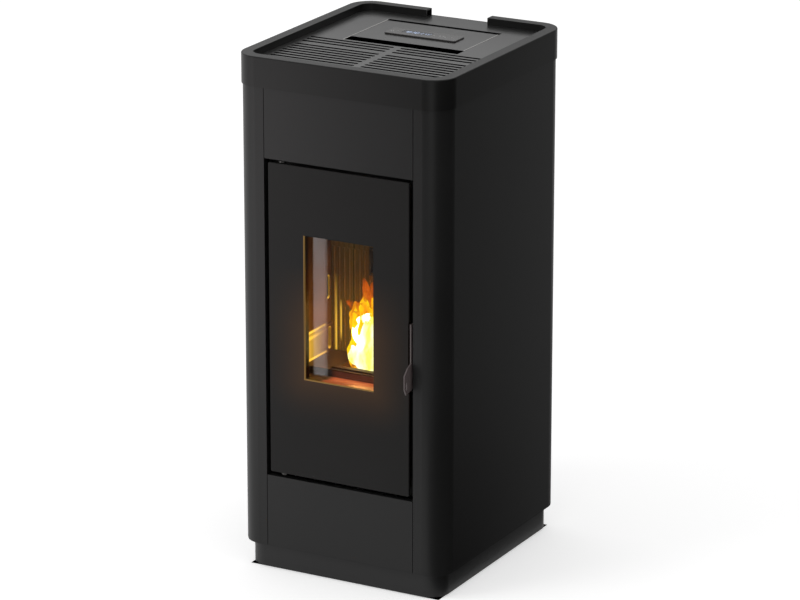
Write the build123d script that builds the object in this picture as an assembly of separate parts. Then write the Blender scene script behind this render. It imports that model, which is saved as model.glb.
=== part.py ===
from build123d import *
from math import cos, radians, sin, sqrt
import os

# Pellet stove. Millimetres, +X to the viewer's right, front towards -Y, +Z up, floor at Z = 0.
# Every pair of numbers in a span is (low, high) along one axis.

# ---------------------------------------------------------------- clearances
gap = 0.3            # between pieces that must not rub
run = 0.05           # radial play of a shaft in its bore
slack = 1.0          # room round a piece that swings past another

# ---------------------------------------------------------------- outer case
body_w = 440.0
body_d = 486.0
overall_h = 1010.0
corner_r = 44.0
sheet = 2.0
seam_x = 157.0       # upright joint between the front panels and the side panels
seam_gap = 1.2
hem = 14.0           # depth of the folds along the door opening
rear_hem_x = 190.0   # inner end of the side panels' fold at the back
base_h = 52.0
base_inset = 12.0
base_r = 36.0
base_lift = 3.0      # daylight under the plinth
floor_t = 2.0
vent_w = 8.0
vent_h = 26.0
vent_pitch = 20.0
vent_count = 9
vent_margin = 10.0

# ---------------------------------------------------------------- rim and top plate
rim_h = 58.0
rim_over = 2.5
rim_t = 2.5
rim_land = 20.0      # width of the rim's flat top inside the case outline
rim_edge_r = 2.2
rim_gap_w = 132.0    # break in the rim at the back
plate_drop = 14.0
plate_t = 2.0
slot_w = 8.0
slot_inner = 7.0
slot_outer = 186.0
rear_slots = 3
rear_slot_y = -15.0
rear_slot_pitch = 16.5
front_slots = 8
front_slot_y = -73.0
front_slot_pitch = 15.9

# ---------------------------------------------------------------- feet
foot_inset = 48.0    # from the case's outside to the feet, both ways
foot_pad_r = 18.0
foot_pad_t = 7.0
foot_stem_r = 5.0
foot_stem_top = 78.0
foot_nut_r = 9.0
foot_nut_t = 8.0
foot_lock_t = 6.0
foot_edge_r = 1.5

# ---------------------------------------------------------------- rear panel and bulkhead
rear_recess = 38.0   # the rear panel lies this far inside the case's back edge
rear_panel_t = 1.5
bulkhead_y = -8.0
bulkhead_t = 2.0
louvre_w = 90.0
louvre_h = 5.0
louvre_pitch = 14.0
louvre_count = 6
louvre_x = 110.0
louvre_z = 760.0
screw_r = 4.0
screw_head = 2.2
screw_rows = 4
screw_margin = 20.0

# ---------------------------------------------------------------- door
door_w = 298.0
door_bottom = 202.0
door_top = 811.0
door_gap_low = 8.4
door_gap_high = 6.7
glass_t = 4.0
glass_r = 3.0
glass_edge = 0.8
window_w = 147.0
window_low = 397.7
window_high = 679.2
window_x = 0.5
pan_left = -130.0
pan_right = 141.0
pan_margin = 12.0    # from the glass edge to the pan, top and bottom
pan_t = 2.0
pan_depth = 20.0
pane_over = 10.0     # how far the inner pane laps the return
pane_t = 4.0
seal_x = 97.0        # centre line of the door seal
seal_low = 241.0     # the seal's lower and upper runs
seal_high = 789.0
seal_r = 5.0
channel_in = 11.0
channel_out = 7.0
clip_z = (430.0, 538.0, 646.0)
clip_w = 18.0
clip_t = 1.6
clip_lap = 5.0       # how far a clip reaches over the inner pane
clip_screw_r = 2.4

# ---------------------------------------------------------------- door hinge
hinge_x = -123.0
hinge_y = -231.0
hinge_pin_r = 4.0
hinge_arm_w = 17.0
hinge_arm_t = 3.0
hinge_pin_len = 32.0
hinge_pin_end = 1.5

# ---------------------------------------------------------------- door handle and catch
handle_x = 152.4
handle_t = 2.4
handle_top = 541.0
tab_top = 465.0
tab_low = 409.0
tab_reach = 25.0
strip_back = 12.0
handle_pivot_y = -231.5
handle_pivot_z = 531.0
handle_pin_r = 3.0
tab_slant = 6.0
eye_in = 7.5         # eye's middle behind the tab's front edge
eye_up = 16.5        # and above its lower end
eye_len = 14.0
eye_w = 5.4
catch_y = -213.0
catch_z = 535.5
catch_r = 2.5
hook_t = 4.5
notch = 1.8          # recess in the glass edge beside the handle
notch_slope = 8.0
washer_over = 2.5
catch_half_z = 9.0
catch_off = 1.4      # from the handle plate to the catch plate
catch_t = 2.0
catch_foot = 8.0
stop_in = 6.0        # the lower door stop lies this far behind the case front
stop_z = (217.0, 225.0)

# ---------------------------------------------------------------- firebox
fire_half = 119.0    # inside half width of the shell
fire_t = 3.0
fire_low = 236.0
fire_high = 800.0
fire_front = -198.0
fire_rear = -15.0
flue_gap_y = -58.0   # front of the smoke passage behind the back liner
liner_t = 5.0
rib_r = 2.4
rib_pitch = 11.0
rib_top = 607.0
hearth_z = 400.0
hearth_front = -172.0
shelf_drop = 14.0    # the shelf in front of the hearth lies this much lower
step_z = 456.0       # joint between the lower and upper side liners
side_liner_t = 3.7
side_step = 2.6
liner_top = 760.0
liner_slot_y = -76.5
liner_slot_w = 10.0
liner_slots = ((405.0, 449.0), (505.0, 551.0))
baffle_t = 6.0
baffle_front = -160.0
collar_len = 11.0
collar_t = 2.0
face_t = 3.0
face_half = 170.0
face_low = 188.0
face_high = 826.0
stand_foot = 14.0
stand_bar = 24.0
rail_w = 8.0         # rails inside the shell that carry the hearth
slide_w = 12.0       # and the ash drawer
riser_r = 10.0
riser_x = (50.0, 74.0, 98.0)
riser_y = -37.0
riser_t = 1.5
riser_proud = 3.0

# ---------------------------------------------------------------- burn pot, igniter, ash drawer
pot_half_x = 50.0
pot_y = -118.0
pot_half_y = 40.0
pot_depth = 50.0
pot_wall = 4.0
pot_flange = 8.0
pot_hole_r = 2.5
pot_holes = (5, 4)
pot_hole_pitch = (17.0, 16.0)
igniter_z = 378.0
igniter_r = 5.0
igniter_flange_r = 12.0
igniter_flange_t = 3.0
igniter_tail = 30.0
drawer_half = 92.0
drawer_front = -184.0
drawer_rear = -72.0
drawer_low = 262.0
drawer_high = 345.0
drawer_face_high = 380.0
drawer_t = 1.5
drawer_grip_z = 330.0
drawer_grip_half = 45.0
drawer_grip_off = 7.0
drawer_grip_r = 2.5

# ---------------------------------------------------------------- feed
auger_tilt = 50.0
auger_y = 112.0
auger_z = 555.0
auger_len = 185.0
auger_tube_r = 27.0
auger_tube_t = 2.0
screw_flight_r = 23.0
screw_shaft_r = 8.0
screw_pitch = 40.0
screw_thick = 2.5
gearbox = 62.0
gearbox_len = 38.0
feed_motor_r = 25.0
feed_motor_len = 44.0
gearbox_r = 4.0
tube_flange_t = 4.0
flight_start = 8.0
chute_half = 32.0
chute_t = 2.0
chute_front = -48.0
chute_rear = 10.0
chute_top = 745.0
chute_exit = (560.0, 612.0)
chute_heel = 640.0
hopper_half = 190.0
hopper_front = 1.0
hopper_rear_gap = 9.0  # from the hopper to the rear panel
hopper_knee = 840.0
hopper_neck = 690.0
neck_half = 28.0
neck_y = (58.0, 122.0)
hopper_t = 1.5
mouth_side = 12.0    # from the lid's edges to the hopper's mouth: sides and back
mouth_front = 9.0
mouth_rise = 14.0
gasket_w = 4.0
gasket_t = 3.7
guard_bar_r = 1.5
guard_pitch = 21.0

# ---------------------------------------------------------------- lid and display
lid_half = 120.0
lid_front = 25.0
lid_finger = 28.0    # finger gap in front of the lid
lid_hole_rear = 66.0  # from the lid opening to the case's back edge
lid_rear_gap = 12.0
lid_lip = 10.0
lid_pivot_back = 1.5  # the lid's pivot lies behind and below its rear edge
lid_pivot_drop = 5.0
lid_pin_r = 1.5
lid_ear_r = 2.6
lid_lug_r = 4.5
lid_lug_x = (99.4, 105.6)
lid_ear_t = 3.0
lid_root = (2.0, 14.0)  # hinge plate under the top plate, behind the opening
display_w = 152.0
display_d = 42.0
display_ahead = 3.5  # the display's middle lies this far in front of the lid's
display_h = 3.0
display_r = 5.0
display_edge = 0.8
tub_inset = (8.0, 4.0)
tub_depth = 9.0
screen_sunk = 1.2
screen_t = 1.0
screen_x = (-46.0, 14.0)
screen_in = 15.0     # from the display's front edge to the screen
screen_d = 18.0

# ---------------------------------------------------------------- smoke path
fan_x = -75.0
fan_z = 290.0
fan_y = (30.0, 82.0)
fan_r = 78.0
fan_t = 2.0
fan_inlet_r = 36.0
fan_blade_count = 10
fan_wheel_r = 66.0
fan_wheel_y = (38.0, 75.0)
fan_shaft_r = 4.0
hub_r = 10.0
fan_motor_r = 38.0
fan_motor_len = 64.0
fan_shaft_len = 16.0
fan_disc_t = 2.0
fan_blade = (36.0, 2.0, 20.0)  # length, thickness and turn
motor_plate_t = 4.0
motor_plate_over = 12.0
outlet_w = 56.0
flue_x = -118.0
flue_z = 155.0
flue_r = 40.0
flue_t = 1.5
flue_box_half = 44.0
flue_box_z = (108.0, 198.0)
flue_flange = 3.0
pipe_ring = 7.0      # cover ring round a pipe, on the back of the rear panel
pipe_ring_t = 2.0

# ---------------------------------------------------------------- air paths
intake_x = 85.0
intake_z = 120.0
intake_y = -95.0
intake_r = 25.0
intake_t = 1.5
air_box_half = 28.0    # the air box under the firebox: half its width and height
air_box_ends = (28.0, 45.0)  # from the riser's axis to its front and its back
intake_top_gap = 12.0
blower_x = (-112.0, 60.0)
blower_y = (-215.0, -128.0)
blower_top = 160.0
blower_axis_y = -171.5
blower_axis_z = 106.0
blower_r = 34.0
blower_t = 1.5
blower_blades = 20
blower_motor_r = 30.0
blower_motor_len = 46.0
blower_blade = (9.0, 1.0, 28.0)  # depth, thickness and turn
blower_disc_t = 2.0
blower_play = 5.0
cradle_half = 20.0
cradle_inset = 8.0

# ---------------------------------------------------------------- electrics
board_x = (120.0, 204.0)
board_z = (330.0, 498.0)
board_off = 10.0
board_t = 1.6
board_post_r = 3.0
board_post_in = 6.0
board_trafo = (30.0, 30.0, 36.0)  # width, depth and height
board_relay = (26.0, 16.0, 24.0)
board_plug = (68.0, 11.0, 10.0)
board_plugs = 4
board_plug_pitch = 18.0
board_edge = 20.0
inlet_x = 150.0
inlet_z = 96.0
inlet_w = 27.0
inlet_h = 20.0
switch_z = 140.0
switch_w = 14.0
switch_h = 22.0
socket_depth = 14.0
socket_wall = 1.5
socket_rim = 2.0
blade_half = (1.0, 2.0)
blade_places = ((-7.0, -2.0), (0.0, 2.0), (7.0, -2.0))
rocker_axle_r = 1.2
rocker_axle_in = 4.0
rocker_tilt = 8.0
rocker_depth = 5.0
rocker_crown = 5.4
rocker_valley = 4.6
rocker_foot = 0.55   # the rocker's foot as a share of its face
button_z = 180.0
button_r = 4.5
button_travel = 2.0
button_edge = 0.8
button_proud = 5.0
thermostat_r = 11.0
thermostat_len = 22.0
thermostat_back = 6.0
thermostat_neck = 3.0
thermostat_wall = 1.6

# ---------------------------------------------------------------- worked-out places
half_w = body_w / 2
front_y = -243.0     # the case front while the pieces are made; the whole is centred at the end
rear_y = front_y + body_d
centre_y = (front_y + rear_y) / 2
rim_low = overall_h - rim_h
plate_top = overall_h - plate_drop
panel_top = plate_top - plate_t
rear_panel_y = rear_y - rear_recess
foot_x = half_w - foot_inset
foot_ys = (front_y + foot_inset, rear_y - foot_inset)
floor_top = base_h
inner_half = half_w - sheet - gap
corner_y = rear_y - corner_r
rear_in_corner = max(0.0, rear_panel_y + rear_panel_t - corner_y)
rear_half = half_w - corner_r + sqrt((corner_r - sheet) ** 2 - rear_in_corner**2) - gap
opening_low = door_bottom - door_gap_low
opening_high = door_top + door_gap_high
glass_back = front_y + glass_t
pan_front = glass_back + gap
pan_back = pan_front + pan_t
pan_rear = pan_front + pan_depth
pan_low = door_bottom + pan_margin
pan_high = door_top - pan_margin
face_front = fire_front - face_t
collar_front = face_front - collar_len
seal_rear = collar_front - gap
seal_front = seal_rear - 2 * seal_r
pane_rear = seal_front
lip_rear = pane_rear - pane_t
throat_x = seal_x - collar_t / 2
throat_low = seal_low + collar_t / 2
throat_high = seal_high - collar_t / 2
lid_hole_half = lid_half + slack
lid_hole_y = (lid_front - lid_finger, rear_y - lid_hole_rear)
lid_y = (lid_front, lid_hole_y[1] - lid_rear_gap)
display_middle = (lid_y[0] + lid_y[1]) / 2 - display_ahead
display_y = (display_middle - display_d / 2, display_middle + display_d / 2)
screen_y = (display_y[0] + screen_in, display_y[0] + screen_in + screen_d)
lid_pivot_y = lid_y[1] + lid_pivot_back
lid_pivot_z = plate_top - lid_pivot_drop
mouth_half = lid_half - mouth_side
mouth_y = (lid_y[0] + mouth_front, lid_y[1] - mouth_side)
hopper_y = (hopper_front, rear_panel_y - hopper_rear_gap)
hopper_top = panel_top - gap - gasket_t - mouth_rise
flue_end = rear_y + tab_reach  # as far behind the case as the handle stands in front of it
intake_end = rear_y
window_x0 = window_x - window_w / 2
window_x1 = window_x + window_w / 2
auger_frame = Plane(
    origin=(0, auger_y, auger_z),
    x_dir=(1, 0, 0),
    z_dir=(0, -cos(radians(auger_tilt)), sin(radians(auger_tilt))),
)


# ---------------------------------------------------------------- shape helpers
def block(x, y, z):
    """A box between two values on each axis."""
    size = (x[1] - x[0], y[1] - y[0], z[1] - z[0])
    middle = ((x[0] + x[1]) / 2, (y[0] + y[1]) / 2, (z[0] + z[1]) / 2)
    return Pos(*middle) * Box(*size)


def rod_x(x, y, z, r):
    return Pos((x[0] + x[1]) / 2, y, z) * Rot(0, 90, 0) * Cylinder(r, x[1] - x[0])


def rod_y(x, y, z, r):
    return Pos(x, (y[0] + y[1]) / 2, z) * Rot(90, 0, 0) * Cylinder(r, y[1] - y[0])


def rod_z(x, y, z, r):
    return Pos(x, y, (z[0] + z[1]) / 2) * Cylinder(r, z[1] - z[0])


def case_prism(grow, z):
    """The case's plan outline, moved out by grow, between two heights."""
    outline = RectangleRounded(body_w + 2 * grow, body_d + 2 * grow, corner_r + grow)
    return extrude(Pos(0, centre_y, z[0]) * outline, z[1] - z[0])


def both_sides(solid):
    """The piece and its mirror image across the stove's middle plane."""
    return solid + mirror(solid, about=Plane.YZ)


def frame_bar(x, y, z, wall):
    """A four-sided ring in the XZ plane, with the same wall all round."""
    hole = block((x[0] + wall, x[1] - wall), y, (z[0] + wall, z[1] - wall))
    return block(x, y, z) - hole


def yz_plate(points, x):
    """A flat plate square to X, from its outline as (y, z) points."""
    outline = make_face(Polyline(*[(0, y, z) for y, z in points], close=True))
    plate = extrude(outline, x[1] - x[0], dir=(1, 0, 0))
    return Pos(x[0], 0, 0) * plate


def total(solids):
    """All the pieces in a list, joined or side by side."""
    whole = solids[0]
    for solid in solids[1:]:
        whole = whole + solid
    return whole


# ---------------------------------------------------------------- base and feet
def base_plate():
    plate = case_prism(-gap, (floor_top - floor_t, floor_top))
    places = [(side * foot_x, y) for side in (-1, 1) for y in foot_ys]
    plate = plate + [rod_z(x, y, (floor_top - foot_nut_t, floor_top), foot_nut_r) for x, y in places]
    for x, y in places:
        plate = plate - rod_z(x, y, (floor_top - foot_nut_t - gap, floor_top + gap), foot_stem_r + run)
    for index in range(vent_count):
        x = sum(blower_x) / 2 + (index - (vent_count - 1) / 2) * vent_pitch
        slit = (x - vent_w / 2, x + vent_w / 2)
        slit_y = (blower_y[0] + vent_margin, blower_y[1] - vent_margin)
        plate = plate - block(slit, slit_y, (0, floor_top + gap))
    return plate


def base_plinth():
    top = floor_top - floor_t
    outer = RectangleRounded(body_w - 2 * base_inset, body_d - 2 * base_inset, base_r)
    inner = RectangleRounded(
        body_w - 2 * base_inset - 2 * sheet, body_d - 2 * base_inset - 2 * sheet, base_r - sheet
    )
    ring = extrude(Pos(0, centre_y, base_lift) * (outer - inner), top - base_lift)
    for index in range(vent_count):
        x = (index - (vent_count - 1) / 2) * vent_pitch
        low = base_lift + vent_margin
        slit = (x - vent_w / 2, x + vent_w / 2)
        ring = ring - block(slit, (centre_y, rear_y), (low, low + vent_h))
    return ring


def levelling_foot(side, y):
    x = side * foot_x
    pad = rod_z(x, y, (0, foot_pad_t), foot_pad_r)
    pad = fillet(pad.edges().group_by(Axis.Z)[-1], foot_edge_r)
    nut = extrude(Pos(x, y, foot_pad_t) * RegularPolygon(foot_nut_r, 6), foot_lock_t)
    stem = rod_z(x, y, (foot_pad_t, foot_stem_top), foot_stem_r)
    return pad + nut + stem


# ---------------------------------------------------------------- case panels
def side_panel(side):
    z = (floor_top, panel_top)
    shell = case_prism(0, z) - case_prism(-sheet, z)
    front = (front_y - gap, centre_y)
    rear = (centre_y, rear_y + gap)
    edge = seam_x + seam_gap / 2
    kept = block((edge, half_w + gap), front, z) + block((rear_hem_x, half_w + gap), rear, z)
    shell = shell & kept
    fold = block((edge, edge + sheet), (front_y + sheet / 2, front_y + hem), z)
    panel = shell + fold
    return panel if side > 0 else mirror(panel, about=Plane.YZ)


def front_top_panel():
    x = (-seam_x + seam_gap / 2, seam_x - seam_gap / 2)
    face = block(x, (front_y, front_y + sheet), (opening_high, panel_top))
    fold = block(x, (front_y, front_y + hem), (opening_high, opening_high + sheet))
    return face + fold


def front_lower_panel():
    x = (-seam_x + seam_gap / 2, seam_x - seam_gap / 2)
    face = block(x, (front_y, front_y + sheet), (floor_top, opening_low))
    fold = block(x, (front_y, front_y + hem), (opening_low - sheet, opening_low))
    return face + fold


def rear_panel():
    y = (rear_panel_y, rear_panel_y + rear_panel_t)
    cut = (y[0] - gap, y[1] + gap)
    panel = block((-rear_half, rear_half), y, (floor_top, panel_top))
    panel = panel - rod_y(flue_x, cut, flue_z, flue_r + gap)
    panel = panel - rod_y(intake_x, cut, intake_z, intake_r + gap)
    panel = panel - rod_y(inlet_x, cut, button_z, button_r + thermostat_wall + gap)
    for z, w, h in ((inlet_z, inlet_w, inlet_h), (switch_z, switch_w, switch_h)):
        x_span = (inlet_x - w / 2 - gap, inlet_x + w / 2 + gap)
        panel = panel - block(x_span, cut, (z - h / 2 - gap, z + h / 2 + gap))
    for row in range(louvre_count):
        z = louvre_z + row * louvre_pitch
        for side in (-1, 1):
            x = side * louvre_x
            slit = (x - louvre_w / 2, x + louvre_w / 2)
            panel = panel - block(slit, cut, (z, z + louvre_h))
    return panel


def case_screws():
    y = (rear_panel_y + rear_panel_t, rear_panel_y + rear_panel_t + screw_head)
    x = rear_half - 3 * screw_r
    low = floor_top + screw_margin
    step = (panel_top - 2 * screw_margin - low) / (screw_rows - 1)
    levels = [low + row * step for row in range(screw_rows)]
    heads = [rod_y(side * x, y, z, screw_r) for side in (-1, 1) for z in levels]
    return total(heads)


def bulkhead():
    y = (bulkhead_y, bulkhead_y + bulkhead_t)
    cut = (y[0] - gap, y[1] + gap)
    panel = block((-inner_half, inner_half), y, (floor_top, panel_top))
    panel = panel - chute_solid(gap)
    panel = panel - rod_y(fan_x, cut, fan_z, fan_inlet_r + fan_t + gap)
    panel = panel - rod_y(intake_x, cut, intake_z, intake_r + gap)
    panel = panel - rod_y(0, cut, igniter_z, igniter_r + gap)
    return panel


# ---------------------------------------------------------------- top rim and grille
def top_rim():
    shell = case_prism(rim_over, (rim_low, overall_h))
    shell = fillet(shell.edges().group_by(Axis.Z)[-1], rim_edge_r)
    shell = shell - case_prism(gap, (rim_low - gap, overall_h - rim_t))
    lip = case_prism(-rim_land + rim_t, (plate_top, overall_h - rim_t))
    shell = shell + lip - case_prism(-rim_land, (rim_low, overall_h + gap))
    notch_y = (rear_y - rim_land - gap, rear_y + rim_over + gap)
    back = block((-rim_gap_w / 2, rim_gap_w / 2), notch_y, (plate_top, overall_h + gap))
    return shell - back


def slot_rows():
    rear = [rear_slot_y - row * rear_slot_pitch for row in range(rear_slots)]
    front = [front_slot_y - row * front_slot_pitch for row in range(front_slots)]
    return rear + front


def top_plate():
    plate = case_prism(0, (panel_top, plate_top))
    length = slot_outer - slot_inner
    middle = (slot_outer + slot_inner) / 2
    slots = [
        Pos(side * middle, y, panel_top - gap) * SlotOverall(length, slot_w)
        for y in slot_rows()
        for side in (-1, 1)
    ]
    for outline in slots:
        plate = plate - extrude(outline, plate_t + 2 * gap)
    hole = block((-lid_hole_half, lid_hole_half), lid_hole_y, (panel_top - gap, plate_top + gap))
    return plate - hole


# ---------------------------------------------------------------- lid with the control panel
def pellet_lid():
    lid = block((-lid_half, lid_half), lid_y, (panel_top, plate_top))
    lid = lid + block((-lid_half, lid_half), (lid_y[0], lid_y[0] + plate_t), (plate_top - lid_lip, plate_top))
    lug = rod_x(lid_lug_x, lid_pivot_y, lid_pivot_z, lid_lug_r)
    web_y = (lid_y[1] - 2 * lid_lug_r + slack, lid_y[1])
    lug = lug + block(lid_lug_x, web_y, (lid_pivot_z, panel_top))
    lug = lug - rod_x((lid_lug_x[0] - gap, lid_lug_x[1] + gap), lid_pivot_y, lid_pivot_z, lid_pin_r + run)
    lid = lid + both_sides(lug)
    return lid - display_tub(gap)


def display_tub(grow):
    """The part of the display that hangs through the lid, moved out by grow."""
    x = display_w / 2 - tub_inset[0] + grow
    y = (display_y[0] + tub_inset[1] - grow, display_y[1] - tub_inset[1] + grow)
    return block((-x, x), y, (plate_top - tub_depth, plate_top + grow))


def display_module():
    depth = display_y[1] - display_y[0]
    middle = (display_y[0] + display_y[1]) / 2
    bezel = extrude(Pos(0, middle, plate_top) * RectangleRounded(display_w, depth, display_r), display_h)
    bezel = chamfer(bezel.edges().group_by(Axis.Z)[-1], display_edge)
    top = plate_top + display_h
    well = block(screen_x, screen_y, (top - screen_sunk, top + gap))
    return bezel + display_tub(0) - well


def display_screen():
    x = (screen_x[0] + gap, screen_x[1] - gap)
    y = (screen_y[0] + gap, screen_y[1] - gap)
    low = plate_top + display_h - screen_sunk
    return block(x, y, (low, low + screen_t))


def lid_hinges():
    inner = (lid_lug_x[0] - gap - lid_ear_t, lid_lug_x[0] - gap)
    outer = (lid_lug_x[1] + gap, lid_lug_x[1] + gap + lid_ear_t)
    root_y = (lid_hole_y[1] + lid_root[0], lid_hole_y[1] + lid_root[1])
    pair = rod_x((inner[0], outer[1]), lid_pivot_y, lid_pivot_z, lid_pin_r)
    for x in (inner, outer):
        pair = pair + rod_x(x, lid_pivot_y, lid_pivot_z, lid_ear_r)
        pair = pair + block(x, (lid_pivot_y, root_y[1]), (lid_pivot_z - lid_ear_r, lid_pivot_z + slack))
    pair = pair + block((inner[0], outer[1]), root_y, (lid_pivot_z - lid_ear_r, panel_top))
    return both_sides(pair)


def lid_gasket():
    z = (hopper_top + mouth_rise, panel_top - gap)
    x = mouth_half + gasket_w
    outer = block((-x, x), (mouth_y[0] - gasket_w, mouth_y[1] + gasket_w), z)
    inner = block((-mouth_half, mouth_half), mouth_y, (z[0] - gap, z[1] + gap))
    return outer - inner


# ---------------------------------------------------------------- door
def door_glass():
    outline = RectangleRounded(door_w, door_top - door_bottom, glass_r)
    centre = (door_top + door_bottom) / 2
    front = Plane(origin=(0, front_y, centre), x_dir=(1, 0, 0), z_dir=(0, 1, 0))
    pane = extrude(front * outline, glass_t)
    pane = chamfer(pane.edges().group_by(Axis.Y)[0], glass_edge)
    edge = door_w / 2
    relief = make_face(
        Polyline(
            (edge + gap, 0, tab_low - notch_slope),
            (edge - notch, 0, tab_low),
            (edge - notch, 0, handle_top),
            (edge + gap, 0, handle_top + notch_slope),
            close=True,
        )
    )
    cut = extrude(relief, glass_t + 2 * gap, dir=(0, 1, 0))
    return pane - Pos(0, front_y - gap, 0) * cut


def door_frame():
    x = (pan_left, pan_right)
    z = (pan_low, pan_high)
    pan = block(x, (pan_front, pan_rear), z)
    pan = pan - block(
        (x[0] + pan_t, x[1] - pan_t), (pan_back, pan_rear + gap), (z[0] + pan_t, z[1] - pan_t)
    )
    outer_x = (-seal_x - channel_out, seal_x + channel_out)
    outer_z = (seal_low - channel_out, seal_high + channel_out)
    floor_y = (seal_front - pan_t, seal_front)
    pan = pan + frame_bar(outer_x, (pan_back, seal_front), outer_z, pan_t)
    pan = pan + frame_bar(outer_x, floor_y, outer_z, channel_in + channel_out)
    lip_x = (window_x0 - pan_t, window_x1 + pan_t)
    lip_z = (window_low - pan_t, window_high + pan_t)
    pan = pan + block(lip_x, (pan_front, lip_rear), lip_z)
    hole = block((window_x0, window_x1), (pan_front - gap, lip_rear + gap), (window_low, window_high))
    pan = pan - hole
    pin_bore = rod_z(hinge_x, hinge_y, (z[0] - gap, z[1] + gap), hinge_pin_r)
    pivot_bore = rod_x((x[1] - 2 * pan_t, x[1] + gap), handle_pivot_y, handle_pivot_z, handle_pin_r + run)
    return pan - pin_bore - pivot_bore


def window_pane():
    x = (window_x0 - pane_over, window_x1 + pane_over)
    z = (window_low - pane_over, window_high + pane_over)
    return block(x, (lip_rear, pane_rear), z)


def pane_clips():
    clips = []
    outer = seal_x - seal_r - 2 * gap
    plate_y = (seal_front, seal_front + clip_t)
    head_y = (plate_y[1], plate_y[1] + clip_t)
    for z in clip_z:
        span = (z - clip_w / 2, z + clip_w / 2)
        left = -window_x0 + pane_over - clip_lap
        clips.append(block((-outer, -left), plate_y, span))
        clips.append(rod_y(-outer + clip_screw_r + gap, head_y, z, clip_screw_r))
        right = window_x1 + pane_over - clip_lap
        clips.append(block((right, outer), plate_y, span))
        clips.append(rod_y(outer - clip_screw_r - gap, head_y, z, clip_screw_r))
    return total(clips)


def door_seal():
    corner = 2 * seal_r
    path = FilletPolyline(
        (-seal_x, 0, seal_low),
        (seal_x, 0, seal_low),
        (seal_x, 0, seal_high),
        (-seal_x, 0, seal_high),
        radius=corner,
        close=True,
    )
    section = Plane(origin=path @ 0.1, z_dir=path % 0.1) * Circle(seal_r)
    rope = sweep(section, path=path)
    return Pos(0, seal_front + seal_r, 0) * rope


def hinge_pins():
    top = opening_high - hinge_pin_end
    upper = rod_z(hinge_x, hinge_y, (pan_high - hinge_pin_len / 2, top), hinge_pin_r)
    low = opening_low + hinge_pin_end
    lower = rod_z(hinge_x, hinge_y, (low, pan_low + hinge_pin_len / 2), hinge_pin_r)
    return upper + lower


def hinge_brackets():
    arms = []
    for z in (
        (door_top + slack, door_top + slack + hinge_arm_t),
        (door_bottom - slack - hinge_arm_t, door_bottom - slack),
    ):
        half = hinge_arm_w / 2
        arm = block((hinge_x - half, hinge_x + half), (hinge_y, face_front), z)
        arm = arm + rod_z(hinge_x, hinge_y, z, half)
        arm = arm - rod_z(hinge_x, hinge_y, (z[0] - gap, z[1] + gap), hinge_pin_r + run)
        arms.append(arm)
    return total(arms)


def door_handle():
    tip = front_y - tab_reach
    x = (handle_x - handle_t / 2, handle_x + handle_t / 2)
    back = front_y + strip_back
    hook_y = (catch_y + catch_r + slack, catch_y + catch_r + slack + hook_t)
    hook_z = (handle_pivot_z - handle_pin_r, catch_z - catch_r - slack)
    outline = [
        (front_y, handle_top),
        (front_y, tab_top),
        (front_y - tab_reach / 2, tab_top - tab_slant),
        (tip, tab_top - 3 * tab_slant),
        (tip, tab_low + 2 * tab_slant),
        (tip + tab_slant, tab_low),
        (back, tab_low + tab_slant),
        (back, handle_top - strip_back),
        (back + tab_slant, hook_z[0]),
        (hook_y[1], hook_z[0]),
        (hook_y[1], catch_z + catch_r),
        (hook_y[0], catch_z + catch_r),
        (hook_y[0], hook_z[1]),
        (back + tab_slant, hook_z[1]),
        (back + tab_slant / 2, handle_top),
    ]
    plate = yz_plate(outline, x)
    place = Plane(origin=(x[0] - gap, tip + eye_in, tab_low + eye_up), x_dir=(0, 0, 1), z_dir=(1, 0, 0))
    plate = plate - extrude(place * SlotOverall(eye_len, eye_w), handle_t + 2 * gap)
    pin = rod_x((pan_right - 3 * pan_t, x[0]), handle_pivot_y, handle_pivot_z, handle_pin_r)
    washer_r = handle_pin_r + washer_over
    washer = rod_x((pan_right + gap, x[0]), handle_pivot_y, handle_pivot_z, washer_r)
    return plate + pin + washer


def latch_catch():
    plate_x = (handle_x + handle_t / 2 + catch_off, handle_x + handle_t / 2 + catch_off + catch_t)
    foot_x_span = (plate_x[0], plate_x[1] + catch_foot)
    foot_y_span = (face_front - catch_t, face_front)
    arm_z = (catch_z - catch_half_z, catch_z + catch_half_z)
    arm = block(plate_x, (catch_y - catch_r - slack, face_front), arm_z)
    foot = block(foot_x_span, foot_y_span, arm_z)
    pin = rod_x((handle_x - handle_t / 2 - 2 * gap, plate_x[0]), catch_y, catch_z, catch_r)
    stop = block(plate_x, (front_y + stop_in, face_front), stop_z)
    stop = stop + block(foot_x_span, foot_y_span, stop_z)
    return arm + foot + pin + stop


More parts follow.
